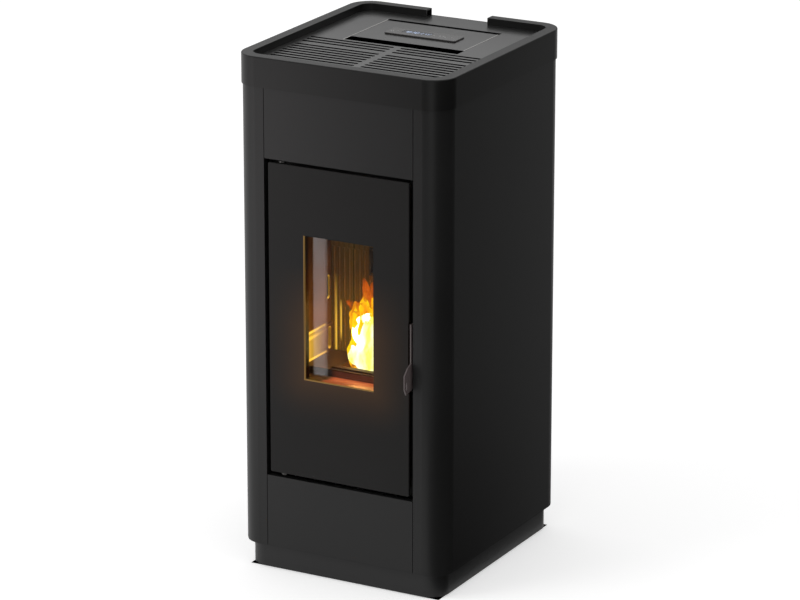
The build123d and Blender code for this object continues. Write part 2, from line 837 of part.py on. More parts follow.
# ---------------------------------------------------------------- firebox
def firebox_shell():
    """The welded box and, under its bottom seam, the floor plate that it stands on."""
    outer = fire_half + fire_t
    shell = block((-outer, outer), (fire_front, fire_rear), (fire_low, fire_high))
    inside = (fire_low + fire_t, fire_high - fire_t)
    shell = shell - block((-fire_half, fire_half), (fire_front - gap, fire_rear - fire_t), inside)
    divider_y = (flue_gap_y - liner_t, flue_gap_y)
    shell = shell + block((-fire_half, fire_half), divider_y, (fire_low + fire_t, hearth_z - fire_t))
    rail_y = (hearth_front + rail_w, divider_y[0])
    rail = block((fire_half - rail_w, fire_half), rail_y, (hearth_z - 2 * fire_t, hearth_z - fire_t))
    shell = shell + both_sides(rail)
    slide_y = (drawer_front, divider_y[0])
    slide_z = (drawer_low - gap - fire_t, drawer_low - gap)
    slide = block((drawer_half - slide_w, fire_half), slide_y, slide_z)
    shell = shell + both_sides(slide)
    for side in (-1, 1):
        for x in riser_x:
            shell = shell - rod_z(side * x, riser_y, (fire_low - gap, fire_high + gap), riser_r)
    rear = (fire_rear - fire_t - gap, fire_rear + gap)
    shell = shell - rod_y(fan_x, rear, fan_z, fan_inlet_r)
    shell = shell - rod_y(0, (divider_y[0] - gap, fire_rear + gap), igniter_z, igniter_r)
    shell = shell - rod_z(intake_x, intake_y, (fire_low - gap, fire_low + fire_t + gap), intake_r)
    seam = (fire_low + fire_t, fire_low + fire_t + gap)
    shell = shell - block((-outer - gap, outer + gap), (fire_front - gap, fire_rear + gap), seam)
    return shell - chute_solid(0)


def firebox_stand():
    x = (fire_half, fire_half + fire_t)
    leg = block(x, (fire_front, fire_rear), (floor_top, fire_low))
    cut_y = (fire_front + stand_bar, fire_rear - stand_bar)
    leg = leg - block((x[0] - gap, x[1] + gap), cut_y, (floor_top + stand_bar, fire_low - stand_bar))
    foot = block((x[0], x[1] + stand_foot), (fire_front, fire_rear), (floor_top, floor_top + fire_t))
    return both_sides(leg + foot)


def front_face():
    y = (face_front, fire_front)
    face = block((-face_half, face_half), y, (face_low, face_high))
    collar_x = (-throat_x - collar_t, throat_x + collar_t)
    collar_z = (throat_low - collar_t, throat_high + collar_t)
    face = face + block(collar_x, (collar_front, face_front), collar_z)
    throat = block((-throat_x, throat_x), (collar_front - gap, fire_front + gap), (throat_low, throat_high))
    return face - throat


def side_liners():
    y = (fire_front, flue_gap_y - liner_t - rib_r)
    top = block((fire_half - side_liner_t, fire_half - gap), y, (step_z, liner_top))
    low_x = (fire_half - side_liner_t - side_step, fire_half - gap)
    panel = top + block(low_x, y, (hearth_z, step_z))
    for z in liner_slots:
        outline = SlotOverall(z[1] - z[0], liner_slot_w)
        middle = (z[0] + z[1]) / 2
        place = Plane(origin=(low_x[0] - gap, liner_slot_y, middle), x_dir=(0, 0, 1), z_dir=(1, 0, 0))
        panel = panel - extrude(place * outline, low_x[1] - low_x[0] + 2 * gap)
    return both_sides(panel)


def back_liner():
    y = (flue_gap_y - liner_t, flue_gap_y)
    half = fire_half - gap
    plate = block((-half, half), y, (hearth_z, liner_top))
    reach = fire_half - side_liner_t - side_step - rib_r
    count = int(reach / rib_pitch)
    ribs = []
    for index in range(-count, count + 1):
        ribs.append(rod_z(index * rib_pitch, y[0], (hearth_z, rib_top), rib_r))
    plate = plate + ribs
    return plate - chute_solid(gap)


def hearth_plate():
    half = fire_half - gap
    plate = block((-half, half), (hearth_front, flue_gap_y), (hearth_z - fire_t, hearth_z))
    shelf_z = (hearth_z - shelf_drop - fire_t, hearth_z - shelf_drop)
    lip = block((-half, half), (hearth_front, hearth_front + fire_t), (shelf_z[0], hearth_z))
    lip = lip + block((-half, half), (fire_front, hearth_front + fire_t), shelf_z)
    hole_x = (-pot_half_x - gap, pot_half_x + gap)
    hole_y = (pot_y - pot_half_y - gap, pot_y + pot_half_y + gap)
    return plate + lip - block(hole_x, hole_y, (hearth_z - 2 * fire_t, hearth_z + gap))


def burn_pot():
    y = (pot_y - pot_half_y, pot_y + pot_half_y)
    low = hearth_z - pot_depth
    cup = block((-pot_half_x, pot_half_x), y, (low, hearth_z + pot_wall))
    flange_x = (-pot_half_x - pot_flange, pot_half_x + pot_flange)
    flange_y = (y[0] - pot_flange, y[1] + pot_flange / 2)
    cup = cup + block(flange_x, flange_y, (hearth_z + gap, hearth_z + pot_wall))
    hollow_x = (-pot_half_x + pot_wall, pot_half_x - pot_wall)
    hollow_y = (y[0] + pot_wall, y[1] - pot_wall)
    cup = cup - block(hollow_x, hollow_y, (low + pot_wall, hearth_z + pot_wall + gap))
    for column in range(pot_holes[0]):
        for row in range(pot_holes[1]):
            hole_x = (column - (pot_holes[0] - 1) / 2) * pot_hole_pitch[0]
            hole_y = pot_y + (row - (pot_holes[1] - 1) / 2) * pot_hole_pitch[1]
            cup = cup - rod_z(hole_x, hole_y, (low - gap, low + pot_wall + gap), pot_hole_r)
    return cup - rod_y(0, (y[1] - pot_wall - gap, y[1] + gap), igniter_z, igniter_r + 2 * slack)


def baffle_plate():
    half = fire_half - slack
    return block((-half, half), (baffle_front, flue_gap_y), (liner_top, liner_top + baffle_t))


def ash_drawer():
    x = (-drawer_half, drawer_half)
    y = (drawer_front, drawer_rear)
    tray = block(x, y, (drawer_low, drawer_high))
    inner_x = (x[0] + drawer_t, x[1] - drawer_t)
    inner_y = (y[0] + drawer_t, y[1] - drawer_t)
    tray = tray - block(inner_x, inner_y, (drawer_low + drawer_t, drawer_high + gap))
    tray = tray + block(x, (y[0], y[0] + drawer_t), (drawer_low, drawer_face_high))
    grip_y = y[0] - drawer_grip_off
    reach = drawer_grip_half + drawer_grip_r
    grip = rod_x((-reach, reach), grip_y, drawer_grip_z, drawer_grip_r)
    for side in (-1, 1):
        grip = grip + rod_y(side * drawer_grip_half, (grip_y, y[0]), drawer_grip_z, drawer_grip_r - gap)
    return tray + grip


def igniter():
    rod = rod_y(0, (pot_y + pot_half_y + 2 * slack, fire_rear + igniter_tail), igniter_z, igniter_r)
    flange = rod_y(0, (fire_rear, fire_rear + igniter_flange_t), igniter_z, igniter_flange_r)
    return rod + flange


def heat_risers():
    tubes = []
    for side in (-1, 1):
        for x in riser_x:
            z = (fire_low - riser_proud, fire_high + riser_proud)
            tube = rod_z(side * x, riser_y, z, riser_r)
            tubes.append(tube - rod_z(side * x, riser_y, (z[0] - gap, z[1] + gap), riser_r - riser_t))
    return total(tubes)


# ---------------------------------------------------------------- feed
def chute_solid(grow):
    """The chute's outside as a solid, moved out by grow, for its own shell and for the holes it passes."""
    far = flue_gap_y - liner_t - rib_r
    points = [
        (chute_front, chute_top),
        (chute_rear, chute_top),
        (chute_rear, chute_heel),
        (far, chute_exit[0]),
        (far, chute_exit[1]),
        (chute_front, chute_exit[1] + (chute_front - far)),
    ]
    outline = make_face(Polyline(*[(0, y, z) for y, z in points], close=True))
    if grow:
        outline = offset(outline, amount=grow, kind=Kind.INTERSECTION)
    half = chute_half + grow
    return Pos(-half, 0, 0) * extrude(outline, 2 * half, dir=(1, 0, 0))


def pellet_chute():
    far = flue_gap_y - liner_t - rib_r
    shell = chute_solid(0) - chute_solid(-chute_t)
    mouth_z = (chute_exit[0] + chute_t, chute_exit[1] - chute_t)
    half = chute_half - chute_t
    shell = shell - block((-half, half), (far - gap, far + 2 * chute_t), mouth_z)
    return shell - auger_frame * Pos(0, 0, auger_len / 2) * Cylinder(auger_tube_r, auger_len)


def neck_prism(wall):
    x = (-neck_half + wall, neck_half - wall)
    return block(x, (neck_y[0] + wall, neck_y[1] - wall), (auger_z, hopper_neck))


def auger_tube():
    tube = auger_frame * Pos(0, 0, auger_len / 2) * Cylinder(auger_tube_r, auger_len)
    bore_r = auger_tube_r - auger_tube_t
    tube = tube - auger_frame * Pos(0, 0, auger_len / 2) * Cylinder(bore_r, auger_len + gap)
    upper = Pos(0, auger_tube_r, auger_len / 2) * Box(2 * gearbox, 2 * auger_tube_r, auger_len)
    top_half = auger_frame * upper
    tube = tube - (neck_prism(hopper_t) & top_half)
    flange = auger_frame * Pos(0, 0, -tube_flange_t / 2) * Box(gearbox, gearbox, tube_flange_t)
    tube = tube + flange
    return tube - auger_frame * Cylinder(screw_shaft_r + run, 4 * tube_flange_t)


def auger_screw():
    root = screw_shaft_r - slack
    height = auger_len - 2 * flight_start
    path = Helix(pitch=screw_pitch, height=height, radius=(screw_flight_r + root) / 2)
    place = Plane(origin=path @ 0, z_dir=path % 0, x_dir=(1, 0, 0))
    section = place * Rectangle(screw_flight_r - root, screw_thick)
    flight = Pos(0, 0, flight_start) * sweep(section, path=path, is_frenet=True)
    tail = gearbox_len / 2
    shaft = Pos(0, 0, (auger_len - tail) / 2) * Cylinder(screw_shaft_r, auger_len + tail)
    return auger_frame * (shaft + flight)


def auger_gearmotor():
    box = Pos(0, 0, -tube_flange_t - gearbox_len / 2) * Box(gearbox, gearbox, gearbox_len)
    box = fillet(box.edges().filter_by(Axis.Z), gearbox_r)
    motor_z = -tube_flange_t - gearbox_len - feed_motor_len / 2
    motor = Pos(0, 0, motor_z) * Cylinder(feed_motor_r, feed_motor_len)
    bore_len = gearbox_len / 2
    bore = Pos(0, 0, -tube_flange_t - bore_len / 2) * Cylinder(screw_shaft_r + run, bore_len)
    return auger_frame * (box + motor - bore)


def funnel(wall):
    """The hopper's outside for wall 0, or its inside for its wall thickness."""
    x = hopper_half - wall
    y = (hopper_y[0] + wall, hopper_y[1] - wall)
    tub = block((-x, x), y, (hopper_knee, hopper_top - wall))
    top = Pos(0, sum(hopper_y) / 2, hopper_knee) * Rectangle(2 * x, y[1] - y[0])
    neck_d = neck_y[1] - neck_y[0] - 2 * wall
    foot = Pos(0, sum(neck_y) / 2, hopper_neck) * Rectangle(2 * (neck_half - wall), neck_d)
    cone = loft([foot.face(), top.face()], ruled=True)
    return tub + cone


def pellet_hopper():
    """Four sheet pieces, seamed together: the neck, the funnel, the bin and its top with the collar."""
    shell = funnel(0) + neck_prism(0)
    collar_x = (-mouth_half - hopper_t, mouth_half + hopper_t)
    collar_y = (mouth_y[0] - hopper_t, mouth_y[1] + hopper_t)
    shell = shell + block(collar_x, collar_y, (hopper_top, hopper_top + mouth_rise))
    shell = shell - funnel(hopper_t) - neck_prism(hopper_t)
    mouth_z = (hopper_top - hopper_t - gap, hopper_top + mouth_rise + gap)
    shell = shell - block((-mouth_half, mouth_half), mouth_y, mouth_z)
    tube = auger_frame * Pos(0, 0, auger_len / 2) * Cylinder(auger_tube_r, 2 * auger_len)
    below = block((-neck_half, neck_half), neck_y, (0, auger_z + auger_tube_r))
    shell = shell - tube - below
    x = (-hopper_half - gap, hopper_half + gap)
    y = (hopper_y[0] - gap, hopper_y[1] + gap)
    for seam in (hopper_neck, hopper_knee, hopper_top - hopper_t - gap):
        shell = shell - block(x, y, (seam, seam + gap))
    return shell


def hopper_guard():
    z = hopper_top - hopper_t - 2 * guard_bar_r
    outer = mouth_half + gasket_w
    inner = mouth_half - guard_bar_r
    outer_y = (mouth_y[0] - gasket_w, mouth_y[1] + gasket_w)
    inner_y = (mouth_y[0] + guard_bar_r, mouth_y[1] - guard_bar_r)
    frame = block((-outer, outer), outer_y, (z, z + 2 * guard_bar_r))
    frame = frame - block((-inner, inner), inner_y, (z - gap, z + 2 * guard_bar_r + gap))
    count = int(mouth_half / guard_pitch)
    bars = [
        rod_y(index * guard_pitch, mouth_y, z + guard_bar_r, guard_bar_r - gap)
        for index in range(-count, count + 1)
    ]
    return frame + bars


# ---------------------------------------------------------------- smoke path
def outlet_x():
    return (fan_x - fan_r, fan_x - fan_r + outlet_w)


def smoke_fan_housing():
    drum = rod_y(fan_x, fan_y, fan_z, fan_r)
    outlet_z = (flue_box_z[1], fan_z)
    drum = drum + block(outlet_x(), fan_y, outlet_z)
    inner_y = (fan_y[0] + fan_t, fan_y[1] - fan_t)
    hollow = rod_y(fan_x, inner_y, fan_z, fan_r - fan_t)
    mouth = (outlet_x()[0] + fan_t, outlet_x()[1] - fan_t)
    hollow = hollow + block(mouth, inner_y, (outlet_z[0] - gap, outlet_z[1]))
    drum = drum + rod_y(fan_x, (fire_rear, fan_y[0]), fan_z, fan_inlet_r + fan_t)
    drum = drum - hollow - rod_y(fan_x, (fire_rear - gap, fan_y[0] + fan_t + gap), fan_z, fan_inlet_r)
    return drum - rod_y(fan_x, (fan_y[1] - fan_t - gap, fan_y[1] + gap), fan_z, hub_r)


def smoke_fan_wheel():
    back = rod_y(fan_x, (fan_wheel_y[1] - fan_disc_t, fan_wheel_y[1]), fan_z, fan_wheel_r)
    hub_front = fan_wheel_y[0] + fan_shaft_len
    hub = rod_y(fan_x, (hub_front, fan_wheel_y[1]), fan_z, hub_r)
    shaft = rod_y(fan_x, (hub_front, fan_y[1] + fan_shaft_len), fan_z, fan_shaft_r)
    wheel = back + hub + shaft
    blades = []
    for index in range(fan_blade_count):
        blade = Box(fan_blade[0], fan_wheel_y[1] - fan_wheel_y[0], fan_blade[1])
        blade = Pos(fan_wheel_r - fan_blade[0] / 2 - 2 * slack, 0, 0) * Rot(0, fan_blade[2], 0) * blade
        turn = Rot(0, index * 360 / fan_blade_count, 0)
        blades.append(Pos(fan_x, sum(fan_wheel_y) / 2, fan_z) * turn * blade)
    return wheel + blades


def smoke_fan_motor():
    plate_y = (fan_y[1], fan_y[1] + motor_plate_t)
    motor = rod_y(fan_x, plate_y, fan_z, fan_motor_r + motor_plate_over)
    motor = motor + rod_y(fan_x, (plate_y[1], plate_y[1] + fan_motor_len), fan_z, fan_motor_r)
    bore_y = (fan_y[1] - gap, fan_y[1] + fan_shaft_len + slack)
    return motor - rod_y(fan_x, bore_y, fan_z, fan_shaft_r + run)


def flue_box():
    x = (flue_x - flue_box_half, flue_x + flue_box_half)
    y = (fan_y[0] - fan_t, rear_panel_y - fan_t)
    box = block(x, y, flue_box_z)
    inner_z = (flue_box_z[0] + fan_t, flue_box_z[1] - fan_t)
    inner = block((x[0] + fan_t, x[1] - fan_t), (y[0] + fan_t, y[1] - fan_t), inner_z)
    top_x = (outlet_x()[0] + fan_t, outlet_x()[1] - fan_t)
    top = block(top_x, (fan_y[0] + fan_t, fan_y[1] - fan_t), (inner_z[1] - gap, flue_box_z[1] + gap))
    return box - inner - top - rod_y(flue_x, (y[1] - fan_t - gap, y[1] + gap), flue_z, flue_r - flue_t)


def cover_ring(x, z, r):
    y = (rear_panel_y + rear_panel_t, rear_panel_y + rear_panel_t + pipe_ring_t)
    return rod_y(x, y, z, r + pipe_ring)


def flue_outlet():
    flange = rod_y(flue_x, (rear_panel_y - fan_t, rear_panel_y), flue_z, flue_r + flue_flange)
    spigot = rod_y(flue_x, (rear_panel_y - fan_t, flue_end), flue_z, flue_r)
    ring = cover_ring(flue_x, flue_z, flue_r)
    bore = rod_y(flue_x, (rear_panel_y - fan_t - gap, flue_end + gap), flue_z, flue_r - flue_t)
    return flange + spigot + ring - bore


# ---------------------------------------------------------------- air paths
def air_intake_pipe():
    """A hose spigot, a closed air box under the firebox, and a riser from it into the firebox floor."""
    bore_r = intake_r - intake_t
    x = (intake_x - air_box_half, intake_x + air_box_half)
    y = (intake_y - air_box_ends[0], intake_y + air_box_ends[1])
    z = (intake_z - air_box_half, intake_z + air_box_half)
    spigot = rod_y(intake_x, (y[1] + gap, intake_end), intake_z, intake_r)
    spigot = spigot + cover_ring(intake_x, intake_z, intake_r)
    spigot = spigot - rod_y(intake_x, (y[1], intake_end + gap), intake_z, bore_r)
    air_box = block(x, y, z)
    inside = [(low + intake_t, high - intake_t) for low, high in (x, y, z)]
    air_box = air_box - block(*inside)
    air_box = air_box - rod_y(intake_x, (y[1] - 2 * intake_t, y[1] + gap), intake_z, bore_r)
    air_box = air_box - rod_z(intake_x, intake_y, (z[1] - 2 * intake_t, z[1] + gap), bore_r)
    riser_end = drawer_low - intake_top_gap
    riser = rod_z(intake_x, intake_y, (z[1] + gap, riser_end), intake_r)
    riser = riser - rod_z(intake_x, intake_y, (z[1], riser_end + gap), bore_r)
    return spigot + air_box + riser


def room_fan_housing():
    z = (floor_top, blower_top)
    t = blower_t
    box = block(blower_x, blower_y, z)
    inner_x = (blower_x[0] + t, blower_x[1] - t)
    box = box - block(inner_x, (blower_y[0] + t, blower_y[1] - t), (z[0] + t, z[1] - t))
    slot_x = (blower_x[0] + blower_play, blower_x[1] - blower_play)
    inlet_y = (blower_y[0] + vent_margin, blower_y[1] - vent_margin)
    box = box - block(slot_x, inlet_y, (z[0] - gap, z[0] + t + gap))
    outlet_y = (blower_axis_y + blower_play, blower_y[1] - blower_play)
    box = box - block(slot_x, outlet_y, (z[1] - t - gap, z[1] + gap))
    bore = rod_x((blower_x[0] - gap, blower_x[1] + gap), blower_axis_y, blower_axis_z, fan_shaft_r + run)
    return box - bore


def room_fan_rotor():
    x = (blower_x[0] + blower_play, blower_x[1] - blower_play)
    shaft_x = (blower_x[0] - blower_play, blower_x[1] + 2 * blower_play)
    rotor = rod_x(shaft_x, blower_axis_y, blower_axis_z, fan_shaft_r)
    for start in (x[0], (sum(x) - blower_disc_t) / 2, x[1] - blower_disc_t):
        rotor = rotor + rod_x((start, start + blower_disc_t), blower_axis_y, blower_axis_z, blower_r)
    blades = []
    for index in range(blower_blades):
        blade = Box(x[1] - x[0], blower_blade[0], blower_blade[1])
        blade = Pos(0, blower_r - blower_blade[0] / 2 - slack, 0) * Rot(blower_blade[2], 0, 0) * blade
        turn = Rot(index * 360 / blower_blades, 0, 0)
        blades.append(Pos(sum(x) / 2, blower_axis_y, blower_axis_z) * turn * blade)
    return rotor + blades


def room_fan_motor():
    x = (blower_x[1], blower_x[1] + blower_motor_len)
    motor = rod_x(x, blower_axis_y, blower_axis_z, blower_motor_r)
    cradle_x = (x[0] + cradle_inset, x[1] - cradle_inset)
    cradle_y = (blower_axis_y - cradle_half, blower_axis_y + cradle_half)
    cradle = block(cradle_x, cradle_y, (floor_top, blower_axis_z))
    bore_x = (x[0] - gap, x[0] + 2 * blower_play + slack)
    bore = rod_x(bore_x, blower_axis_y, blower_axis_z, fan_shaft_r + run)
    return motor + cradle - bore


# ---------------------------------------------------------------- electrics
def control_board():
    back = bulkhead_y + bulkhead_t
    y = (back + board_off, back + board_off + board_t)
    board = block(board_x, y, board_z)
    for x in (board_x[0] + board_post_in, board_x[1] - board_post_in):
        for z in (board_z[0] + board_post_in, board_z[1] - board_post_in):
            board = board + rod_y(x, (back, y[0]), z, board_post_r)
    middle = sum(board_x) / 2
    low = board_z[0] + board_edge
    for x, size in ((middle - board_trafo[0], board_trafo), (middle + board_post_in, board_relay)):
        board = board + block((x, x + size[0]), (y[1], y[1] + size[1]), (low, low + size[2]))
    plug_x = (middle - board_plug[0] / 2, middle + board_plug[0] / 2)
    for row in range(board_plugs):
        z = board_z[1] - board_edge - row * board_plug_pitch
        board = board + block(plug_x, (y[1], y[1] + board_plug[1]), (z - board_plug[2], z))
    return board


def socket_shell(z, w, h):
    """One flanged box set in the rear panel, open to the back."""
    front = rear_panel_y - socket_depth
    rear = rear_panel_y + rear_panel_t
    x = (inlet_x - w / 2, inlet_x + w / 2)
    up = (z - h / 2, z + h / 2)
    shell = block(x, (front, rear), up)
    rim_x = (x[0] - socket_rim, x[1] + socket_rim)
    shell = shell + block(rim_x, (rear, rear + socket_rim), (up[0] - socket_rim, up[1] + socket_rim))
    hollow_x = (x[0] + socket_wall, x[1] - socket_wall)
    hollow_z = (up[0] + socket_wall, up[1] - socket_wall)
    return shell - block(hollow_x, (front + socket_wall, rear + socket_rim + gap), hollow_z)


def power_inlet():
    inlet = socket_shell(inlet_z, inlet_w, inlet_h)
    blade_y = (rear_panel_y - socket_depth + socket_wall, rear_panel_y)
    for x, z in blade_places:
        blade_x = (inlet_x + x - blade_half[0], inlet_x + x + blade_half[0])
        inlet = inlet + block(blade_x, blade_y, (inlet_z + z - blade_half[1], inlet_z + z + blade_half[1]))
    switch = socket_shell(switch_z, switch_w, switch_h)
    axle_x = (inlet_x - switch_w / 2, inlet_x + switch_w / 2)
    axle_y = rear_panel_y + rear_panel_t - rocker_axle_in
    return inlet + (switch + rod_x(axle_x, axle_y, switch_z, rocker_axle_r))


def power_rocker():
    half = switch_h / 2 - socket_wall - slack
    foot = half * rocker_foot
    outline = [
        (-rocker_depth, -foot),
        (rocker_crown, -half + slack),
        (rocker_valley, 0.0),
        (rocker_crown, half - slack),
        (-rocker_depth, foot),
    ]
    inner = switch_w / 2 - socket_wall - gap
    x = (inlet_x - inner, inlet_x + inner)
    rocker = yz_plate(outline, x)
    rocker = rocker - rod_x((x[0] - gap, x[1] + gap), 0, 0, rocker_axle_r + run)
    axle_y = rear_panel_y + rear_panel_t - rocker_axle_in
    return Pos(0, axle_y, switch_z) * Rot(rocker_tilt, 0, 0) * rocker


def safety_thermostat():
    y = (rear_panel_y - thermostat_len, rear_panel_y)
    end = y[1] + rear_panel_t + thermostat_neck
    body = rod_y(inlet_x, y, button_z, thermostat_r)
    neck = rod_y(inlet_x, (y[1], end), button_z, button_r + thermostat_wall)
    bore = rod_y(inlet_x, (y[0] + thermostat_back, end + gap), button_z, button_r + run)
    return body + neck - bore


def reset_button():
    inner = rear_panel_y - thermostat_len + thermostat_back + button_travel + gap
    outer = rear_panel_y + rear_panel_t + thermostat_neck + button_proud
    cap = rod_y(inlet_x, (inner, outer), button_z, button_r)
    return chamfer(cap.edges().group_by(Axis.Y)[-1], button_edge)


# ---------------------------------------------------------------- write every piece
pieces = {
    "base_plate": base_plate,
    "base_plinth": base_plinth,
    "levelling_foot_front_left": lambda: levelling_foot(-1, foot_ys[0]),
    "levelling_foot_front_right": lambda: levelling_foot(1, foot_ys[0]),
    "levelling_foot_rear_left": lambda: levelling_foot(-1, foot_ys[1]),
    "levelling_foot_rear_right": lambda: levelling_foot(1, foot_ys[1]),
    "side_panel_left": lambda: side_panel(-1),
    "side_panel_right": lambda: side_panel(1),
    "front_top_panel": front_top_panel,
    "front_lower_panel": front_lower_panel,
    "rear_panel": rear_panel,
    "case_screws": case_screws,
    "bulkhead": bulkhead,
    "top_rim": top_rim,
    "top_plate": top_plate,
    "pellet_lid": pellet_lid,
    "display_module": display_module,
    "display_screen": display_screen,
    "lid_hinges": lid_hinges,
    "lid_gasket": lid_gasket,
    "door_glass": door_glass,
    "door_frame": door_frame,
    "window_pane": window_pane,
    "pane_clips": pane_clips,
    "door_seal": door_seal,
    "hinge_pins": hinge_pins,
    "hinge_brackets": hinge_brackets,
    "door_handle": door_handle,
    "latch_catch": latch_catch,
    "firebox_shell": firebox_shell,
    "firebox_stand": firebox_stand,
    "front_face": front_face,
    "side_liners": side_liners,
    "back_liner": back_liner,
    "hearth_plate": hearth_plate,
    "burn_pot": burn_pot,
    "baffle_plate": baffle_plate,
    "ash_drawer": ash_drawer,
    "igniter": igniter,
    "heat_risers": heat_risers,
    "pellet_chute": pellet_chute,
    "auger_tube": auger_tube,
    "auger_screw": auger_screw,
    "auger_gearmotor": auger_gearmotor,
    "pellet_hopper": pellet_hopper,
    "hopper_guard": hopper_guard,
    "smoke_fan_housing": smoke_fan_housing,
    "smoke_fan_wheel": smoke_fan_wheel,
    "smoke_fan_motor": smoke_fan_motor,
    "flue_box": flue_box,
    "flue_outlet": flue_outlet,
    "air_intake_pipe": air_intake_pipe,
    "room_fan_housing": room_fan_housing,
    "room_fan_rotor": room_fan_rotor,
    "room_fan_motor": room_fan_motor,
    "control_board": control_board,
    "power_inlet": power_inlet,
    "power_rocker": power_rocker,
    "safety_thermostat": safety_thermostat,
    "reset_button": reset_button,
}

os.makedirs("parts", exist_ok=True)
for name, make in pieces.items():
    export_step(Pos(0, -centre_y, 0) * make(), f"parts/{name}.step")
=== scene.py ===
from math import cos, pi, radians, sin, tau

import bmesh
import bpy
from mathutils import Matrix, Vector, noise


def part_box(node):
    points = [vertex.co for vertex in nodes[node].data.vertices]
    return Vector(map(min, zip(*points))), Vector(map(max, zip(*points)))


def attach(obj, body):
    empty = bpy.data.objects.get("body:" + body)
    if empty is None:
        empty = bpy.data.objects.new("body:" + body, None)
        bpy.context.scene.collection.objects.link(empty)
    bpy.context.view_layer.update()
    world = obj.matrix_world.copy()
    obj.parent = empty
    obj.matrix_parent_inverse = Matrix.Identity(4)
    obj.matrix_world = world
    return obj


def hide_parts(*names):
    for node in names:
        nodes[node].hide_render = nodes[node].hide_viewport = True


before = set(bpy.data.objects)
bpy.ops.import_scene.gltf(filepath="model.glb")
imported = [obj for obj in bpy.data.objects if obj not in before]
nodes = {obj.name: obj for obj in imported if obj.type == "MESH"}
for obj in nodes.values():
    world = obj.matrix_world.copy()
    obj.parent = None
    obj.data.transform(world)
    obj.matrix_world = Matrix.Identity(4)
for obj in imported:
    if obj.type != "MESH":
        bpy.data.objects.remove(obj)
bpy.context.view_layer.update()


# ---------------------------------------------------------------- outer case
# Sheet-steel side panels, front panels and plinth in satin black powder coat, baked on after folding.
# The coat has a very fine orange-peel grain and hardly any change of tone.
class Wire:
    """A value inside a finish; sums and products of it add the Math nodes."""

    def __init__(self, finish, socket):
        self.finish = finish
        self.socket = socket

    def math(self, operation, first, second=0.0, **settings):
        settings["operation"] = operation
        return self.finish.add("ShaderNodeMath", settings, {0: first, 1: second})

    def __add__(self, other):
        return self.math("ADD", self, other)

    def __sub__(self, other):
        return self.math("SUBTRACT", self, other)

    def __rsub__(self, other):
        return self.math("SUBTRACT", other, self)

    def __mul__(self, other):
        return self.math("MULTIPLY", self, other)

    def __truediv__(self, other):
        return self.math("DIVIDE", self, other)

    def __pow__(self, other):
        return self.math("POWER", self, other)

    def __abs__(self):
        return self.math("ABSOLUTE", self)

    def held(self):
        return self.math("ADD", self, 0.0, use_clamp=True)

    __radd__ = __add__
    __rmul__ = __mul__


class Finish:
    """A surface finish: its material, its one shader and the wires that lead there."""

    def __init__(self, name, **flat):
        self.material = bpy.data.materials.new(name)
        self.material.use_nodes = True
        self.tree = self.material.node_tree
        self.shader = self.tree.nodes["Principled BSDF"]
        for socket, value in flat.items():
            self.give(self.shader, socket.replace("_", " "), value)

    def give(self, node, socket, value):
        target = node.inputs[socket]
        if isinstance(value, Wire):
            self.tree.links.new(value.socket, target)
        elif target.type == "RGBA":
            target.default_value = (*value, 1.0)
        else:
            target.default_value = value

    def add(self, kind, settings=None, inputs=None, out=0):
        node = self.tree.nodes.new(kind)
        for name, value in (settings or {}).items():
            if name == "stops":
                stops = node.color_ramp.elements
                stops.remove(stops[1])
                stops[0].position, stops[0].color = value[0][0], (*value[0][1], 1.0)
                for place, colour in value[1:]:
                    stops.new(place).color = (*colour, 1.0)
            else:
                setattr(node, name, value)
        for socket, value in (inputs or {}).items():
            self.give(node, socket, value)
        return Wire(self, node.outputs[out])

    def place(self):
        return self.add("ShaderNodeTexCoord", out="Object")

    def along(self, axis):
        return self.add("ShaderNodeSeparateXYZ", inputs={0: self.place()}, out=axis)

    def stretched(self, x, y, z):
        return self.add("ShaderNodeMapping", inputs={"Vector": self.place(), "Scale": (x, y, z)})

    def cloud(self, scale, detail=3.0, where=None, rough=0.5):
        inputs = {"Vector": where or self.place(), "Scale": scale, "Detail": detail, "Roughness": rough}
        return self.add("ShaderNodeTexNoise", inputs=inputs)

    def tint(self, share, low, high):
        stops = [(0.25, low), (0.75, high)]
        return self.add("ShaderNodeValToRGB", {"stops": stops}, {"Fac": share})

    def blend(self, share, first, second):
        return self.add("ShaderNodeMix", {"data_type": "RGBA"}, {0: share, 6: first, 7: second}, out=2)

    def within(self, axis, low, high, soft=0.0002):
        half = (high - low) / 2
        return ((half - abs(self.along(axis) - (low + half))) / soft + 0.5).held()

    def grain(self, height, depth):
        return self.add("ShaderNodeBump", {}, {"Height": height, "Distance": depth, "Strength": 1.0})

    def wear(self, **varying):
        for socket, value in varying.items():
            self.give(self.shader, socket.replace("_", " "), value)
        return self


def finish(names, made):
    for name in names.split():
        skins = nodes[name].data.materials
        skins.clear()
        skins.append(made.material)


def powder_coat(name, dark, light, roughness, gloss):
    coat = Finish(name, Specular_IOR_Level=gloss)
    handled = coat.cloud(5.0, 2.0)
    peel = coat.cloud(1400.0, 2.0) + coat.cloud(520.0, 1.0) * 0.6
    return coat.wear(
        Base_Color=coat.tint(handled, dark, light),
        Roughness=handled * 0.06 + (roughness - 0.03),
        Normal=coat.grain(peel, 0.00001),
    )


case_coat = powder_coat("satin_black_coat", (0.0088, 0.0087, 0.0086), (0.0108, 0.0107, 0.0106), 0.42, 0.26)
finish("side_panel_left side_panel_right front_top_panel front_lower_panel", case_coat)
plinth_coat = powder_coat("plinth_coat", (0.010, 0.010, 0.010), (0.012, 0.012, 0.012), 0.46, 0.32)
finish("base_plinth", plinth_coat)


# ---------------------------------------------------------------- top rim and top plate
# The raised rim is pressed sheet with a rounded top edge, coated rougher than the panels.
# The grille plate inside it is laser-cut, with long slots through which the warm air leaves.
rim_coat = powder_coat("rim_coat", (0.0058, 0.0057, 0.0055), (0.0072, 0.0071, 0.0068), 0.40, 0.24)
finish("top_rim", rim_coat)


